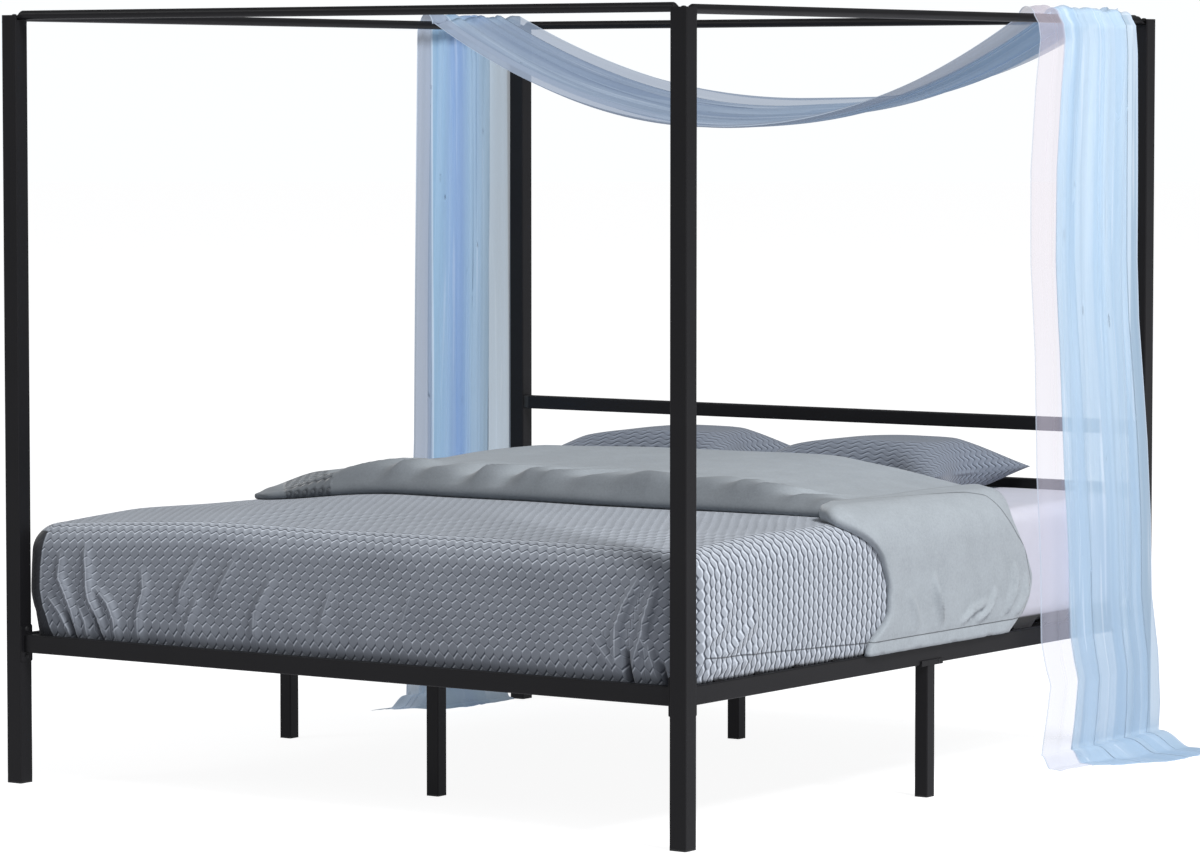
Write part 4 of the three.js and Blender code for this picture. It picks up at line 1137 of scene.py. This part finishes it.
# painted light: the left fall's end on the floor is painted lighter
on_floor = left_fall * upwards.between(0.30, 0.10)
tint = right_fall.mix(left_fall.mix(swag_blue, left_blue), right_blue)
tint = gleam.mix(tint, (0.62, 0.66, 0.72))
tint = border.maths("MAXIMUM", far_edge).mix(tint, pale)
tint = (0.7 * on_floor).mix(tint, (0.36, 0.44, 0.52))
tint = (0.7 * hems).mix(tint, (0.34, 0.40, 0.48))
opacity = 0.48 + 0.20 * upwards.between(0.09, 0.02) + 0.12 * streak + 0.25 * hems
opacity = opacity + border * (0.09 - 0.20 * right_fall) + 0.22 * (1 - right_fall - left_fall)
opacity = opacity + 0.24 * left_fall + 0.28 * across_cloth.between(1.12, 1.22) * right_fall
connect(
    shader,
    Base_Color=tint,
    # painted light: the voile glows a little in its own tint, standing in for the light that shines through it
    Emission_Color=tint,
    Emission_Strength=0.35,
    Roughness=0.7,
    Specular_IOR_Level=0.1,
    Alpha=opacity,
)

PLEAT_AT = (0.0, 0.162, 0.230, 0.406, 0.550, 0.748, 0.856, 1.0)  # folds, as shares of the width
LEFT_PLEATS = np.array((0.0, 0.34, 0.13, 0.60, 0.18, 0.78, 0.54, 1.0))  # where each lies between the edges
RIGHT_PLEATS = np.array((0.0, 0.44, 0.22, 0.72, 0.32, 0.90, 0.60, 1.0))
RAIL_X, RAIL_Z = 0.968, 1.850
HANG = 0.994  # plane of the falls, just clear of the posts
OVER = 0.016  # bend over a rail
SWAG_END = 0.950
FALL_TOP, FLOOR_END = 1.86, 0.03

part = np.linspace(0.0, 1.0, 164)  # across the scarf, from its front edge
cloth_rows, runs = [], [0.0]  # rows of cloth, and how far along the cloth each one and the next one are


def pleats_at(side):
    """Where each part of the width lies between the edges: side is -1 left, 0 amid the swag and 1 right."""
    blend = (side + 1) / 2
    return np.interp(part, PLEAT_AT, (1 - blend) * LEFT_PLEATS + blend * RIGHT_PLEATS)


def edges_of_fall(side, height):
    """Front and rear edge of a fall at a height."""
    if side < 0:
        front = np.interp(height, (0.0, 0.74, 1.11, 1.38, 1.86), (0.545, 0.585, 0.591, 0.596, 0.607))
        rear = np.interp(height, (0.0, 0.10, 0.70, 1.76, 1.86), (0.985, 0.995, 1.030, 1.036, 1.014))
    else:
        front = np.interp(
            height,
            (0.02, 0.10, 0.16, 0.218, 0.27, 0.33, 0.53, 0.75, 1.04, 1.26, 1.48, 1.68, 1.80, 1.86),
            (0.482, 0.503, 0.518, 0.531, 0.504, 0.483, 0.475, 0.452, 0.441, 0.42, 0.42, 0.443, 0.466, 0.45),
        )
        rear = np.interp(
            height,
            (0.02, 0.12, 0.25, 0.40, 0.60, 0.79, 0.95, 1.10, 1.25, 1.77, 1.86),
            (1.090, 1.100, 1.088, 1.052, 1.043, 1.022, 0.996, 0.970, 0.958, 0.953, 0.940),
        )
    return front, rear


def add_row(side, base, outward, edges, ripple, step):
    """One row of cloth across the scarf, from X and Z, the way out in X and Z, the front and rear edge, the
    height of its fine ripples and the cloth up to the next row."""
    (x, z), (out_x, out_z), (front, rear), run = base, outward, edges, runs[-1]
    spots = np.column_stack([part * 9.0, np.full(part.size, run * 0.9), np.zeros(part.size)])
    pleats = pleats_at(side)
    pleats = pleats + 0.24 * wander(spots, 1.0, 31) * pleats * (1 - pleats)
    layer = np.interp(part, PLEAT_AT, np.arange(8))
    wave = np.sin(2 * pi * (13 * part + 0.5 * np.sin(0.9 * run + 9 * part))) * 0.7
    wave += np.sin(2 * pi * (31 * part + 0.4 * np.sin(1.7 * run + 5 * part))) * 0.18
    wave += 0.9 * wander(spots * (2.2, 0.8, 1.0), 1.0, 33)
    depth = 0.0014 * (7 - layer) + ripple * (1 + wave)
    y = front + (rear - front) * pleats + 0.004 * wave - 1.15 * out_x * depth
    cloth_rows.append(np.column_stack([x + out_x * depth, y, z + out_z * depth]))
    runs.append(run + step)


# the rows follow each other from the left end to the right, so up the left side and down the right one
def pool_rows(side):
    """The end of a fall, lying on the floor."""
    front, rear = edges_of_fall(side, FLOOR_END)
    for share in np.linspace(0.0, 1.0, 26)[1:][::side]:
        if side > 0:
            reach = 0.050 + 0.120 * smooth(0.15, 0.60, pleats_at(side))
            edges = front + 0.02 * share, rear + 0.02 * share
        else:
            reach = 0.075 - 0.13 * smooth(0.15, 0.5, pleats_at(side))
            edges = front - 0.06 * share, rear - 0.02 * share
        flat = smooth(0.0, 0.4, share)
        height = 0.004 + 0.046 * (1 - smooth(0.0, 0.45, share)) + 0.004 * np.sin(pi * share)
        base = side * (HANG + reach * share**0.8), height
        add_row(side, base, (side * (1 - 0.8 * flat), 0.6 * flat), edges, 0.0055 - 0.003 * flat, 0.008)


def hanging_rows(side):
    heights = np.linspace(0.05, 1.836, 152)
    for height in heights[::-side]:
        edges = edges_of_fall(side, height)
        add_row(side, (side * HANG, height), (side, 0.0), edges, 0.0065, heights[1] - heights[0])


def over_rail(side):
    """The bend over a canopy rail, a little puffed."""
    for angle in np.linspace(0.0, pi * 0.97, 16)[1:][::-side]:
        outward = side * cos(angle), sin(angle)
        base = side * (RAIL_X + OVER * cos(angle) * 1.15), RAIL_Z + OVER * sin(angle)
        add_row(side, base, outward, edges_of_fall(side, FALL_TOP), 0.004, 0.004)


def swag_rows():
    """The swag, lowest amid the bed at its front edge."""
    left_edges, right_edges = [np.array(edges_of_fall(side, FALL_TOP)) for side in (-1, 1)]
    resting = pleats_at(0)
    lowest = 1.560 + 0.088 * resting - 0.010 * np.sin(pi * resting)
    for side in np.linspace(-1.0, 1.0, 172):
        rise = abs(side) ** (2 + 0.8 * resting * smooth(0.0, 0.3, side))
        z = lowest + (RAIL_Z - 0.008 + 0.030 * resting - lowest) * rise
        slope = 2 * (RAIL_Z - 1.6) * side / SWAG_END
        tip = 1 / sqrt(1 + slope**2)
        front, rear = left_edges + (right_edges - left_edges) * (side + 1) / 2
        centre, half = (front + rear) / 2, (rear - front) / 2 * (1 - 0.10 * (1 - side**2))
        edges = centre - half, centre + half
        add_row(side, (SWAG_END * side, z), (-slope * tip, tip), edges, 0.0075, 0.0125)


pool_rows(-1)
hanging_rows(-1)
over_rail(-1)
swag_rows()
over_rail(1)
hanging_rows(1)
pool_rows(1)
cloth_cut = grid(np.array(runs[:-1])[:, None], part * SCARF_WIDTH)
drape = sheet_piece("voile_scarf", [(np.array(cloth_rows), cloth_cut)])
drape.data.materials.append(voile)
drape.visible_shadow = False  # so thin that its shadow is barely there
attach(drape, "root")
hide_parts("drape_fall_left", "drape_swag", "drape_fall_right")
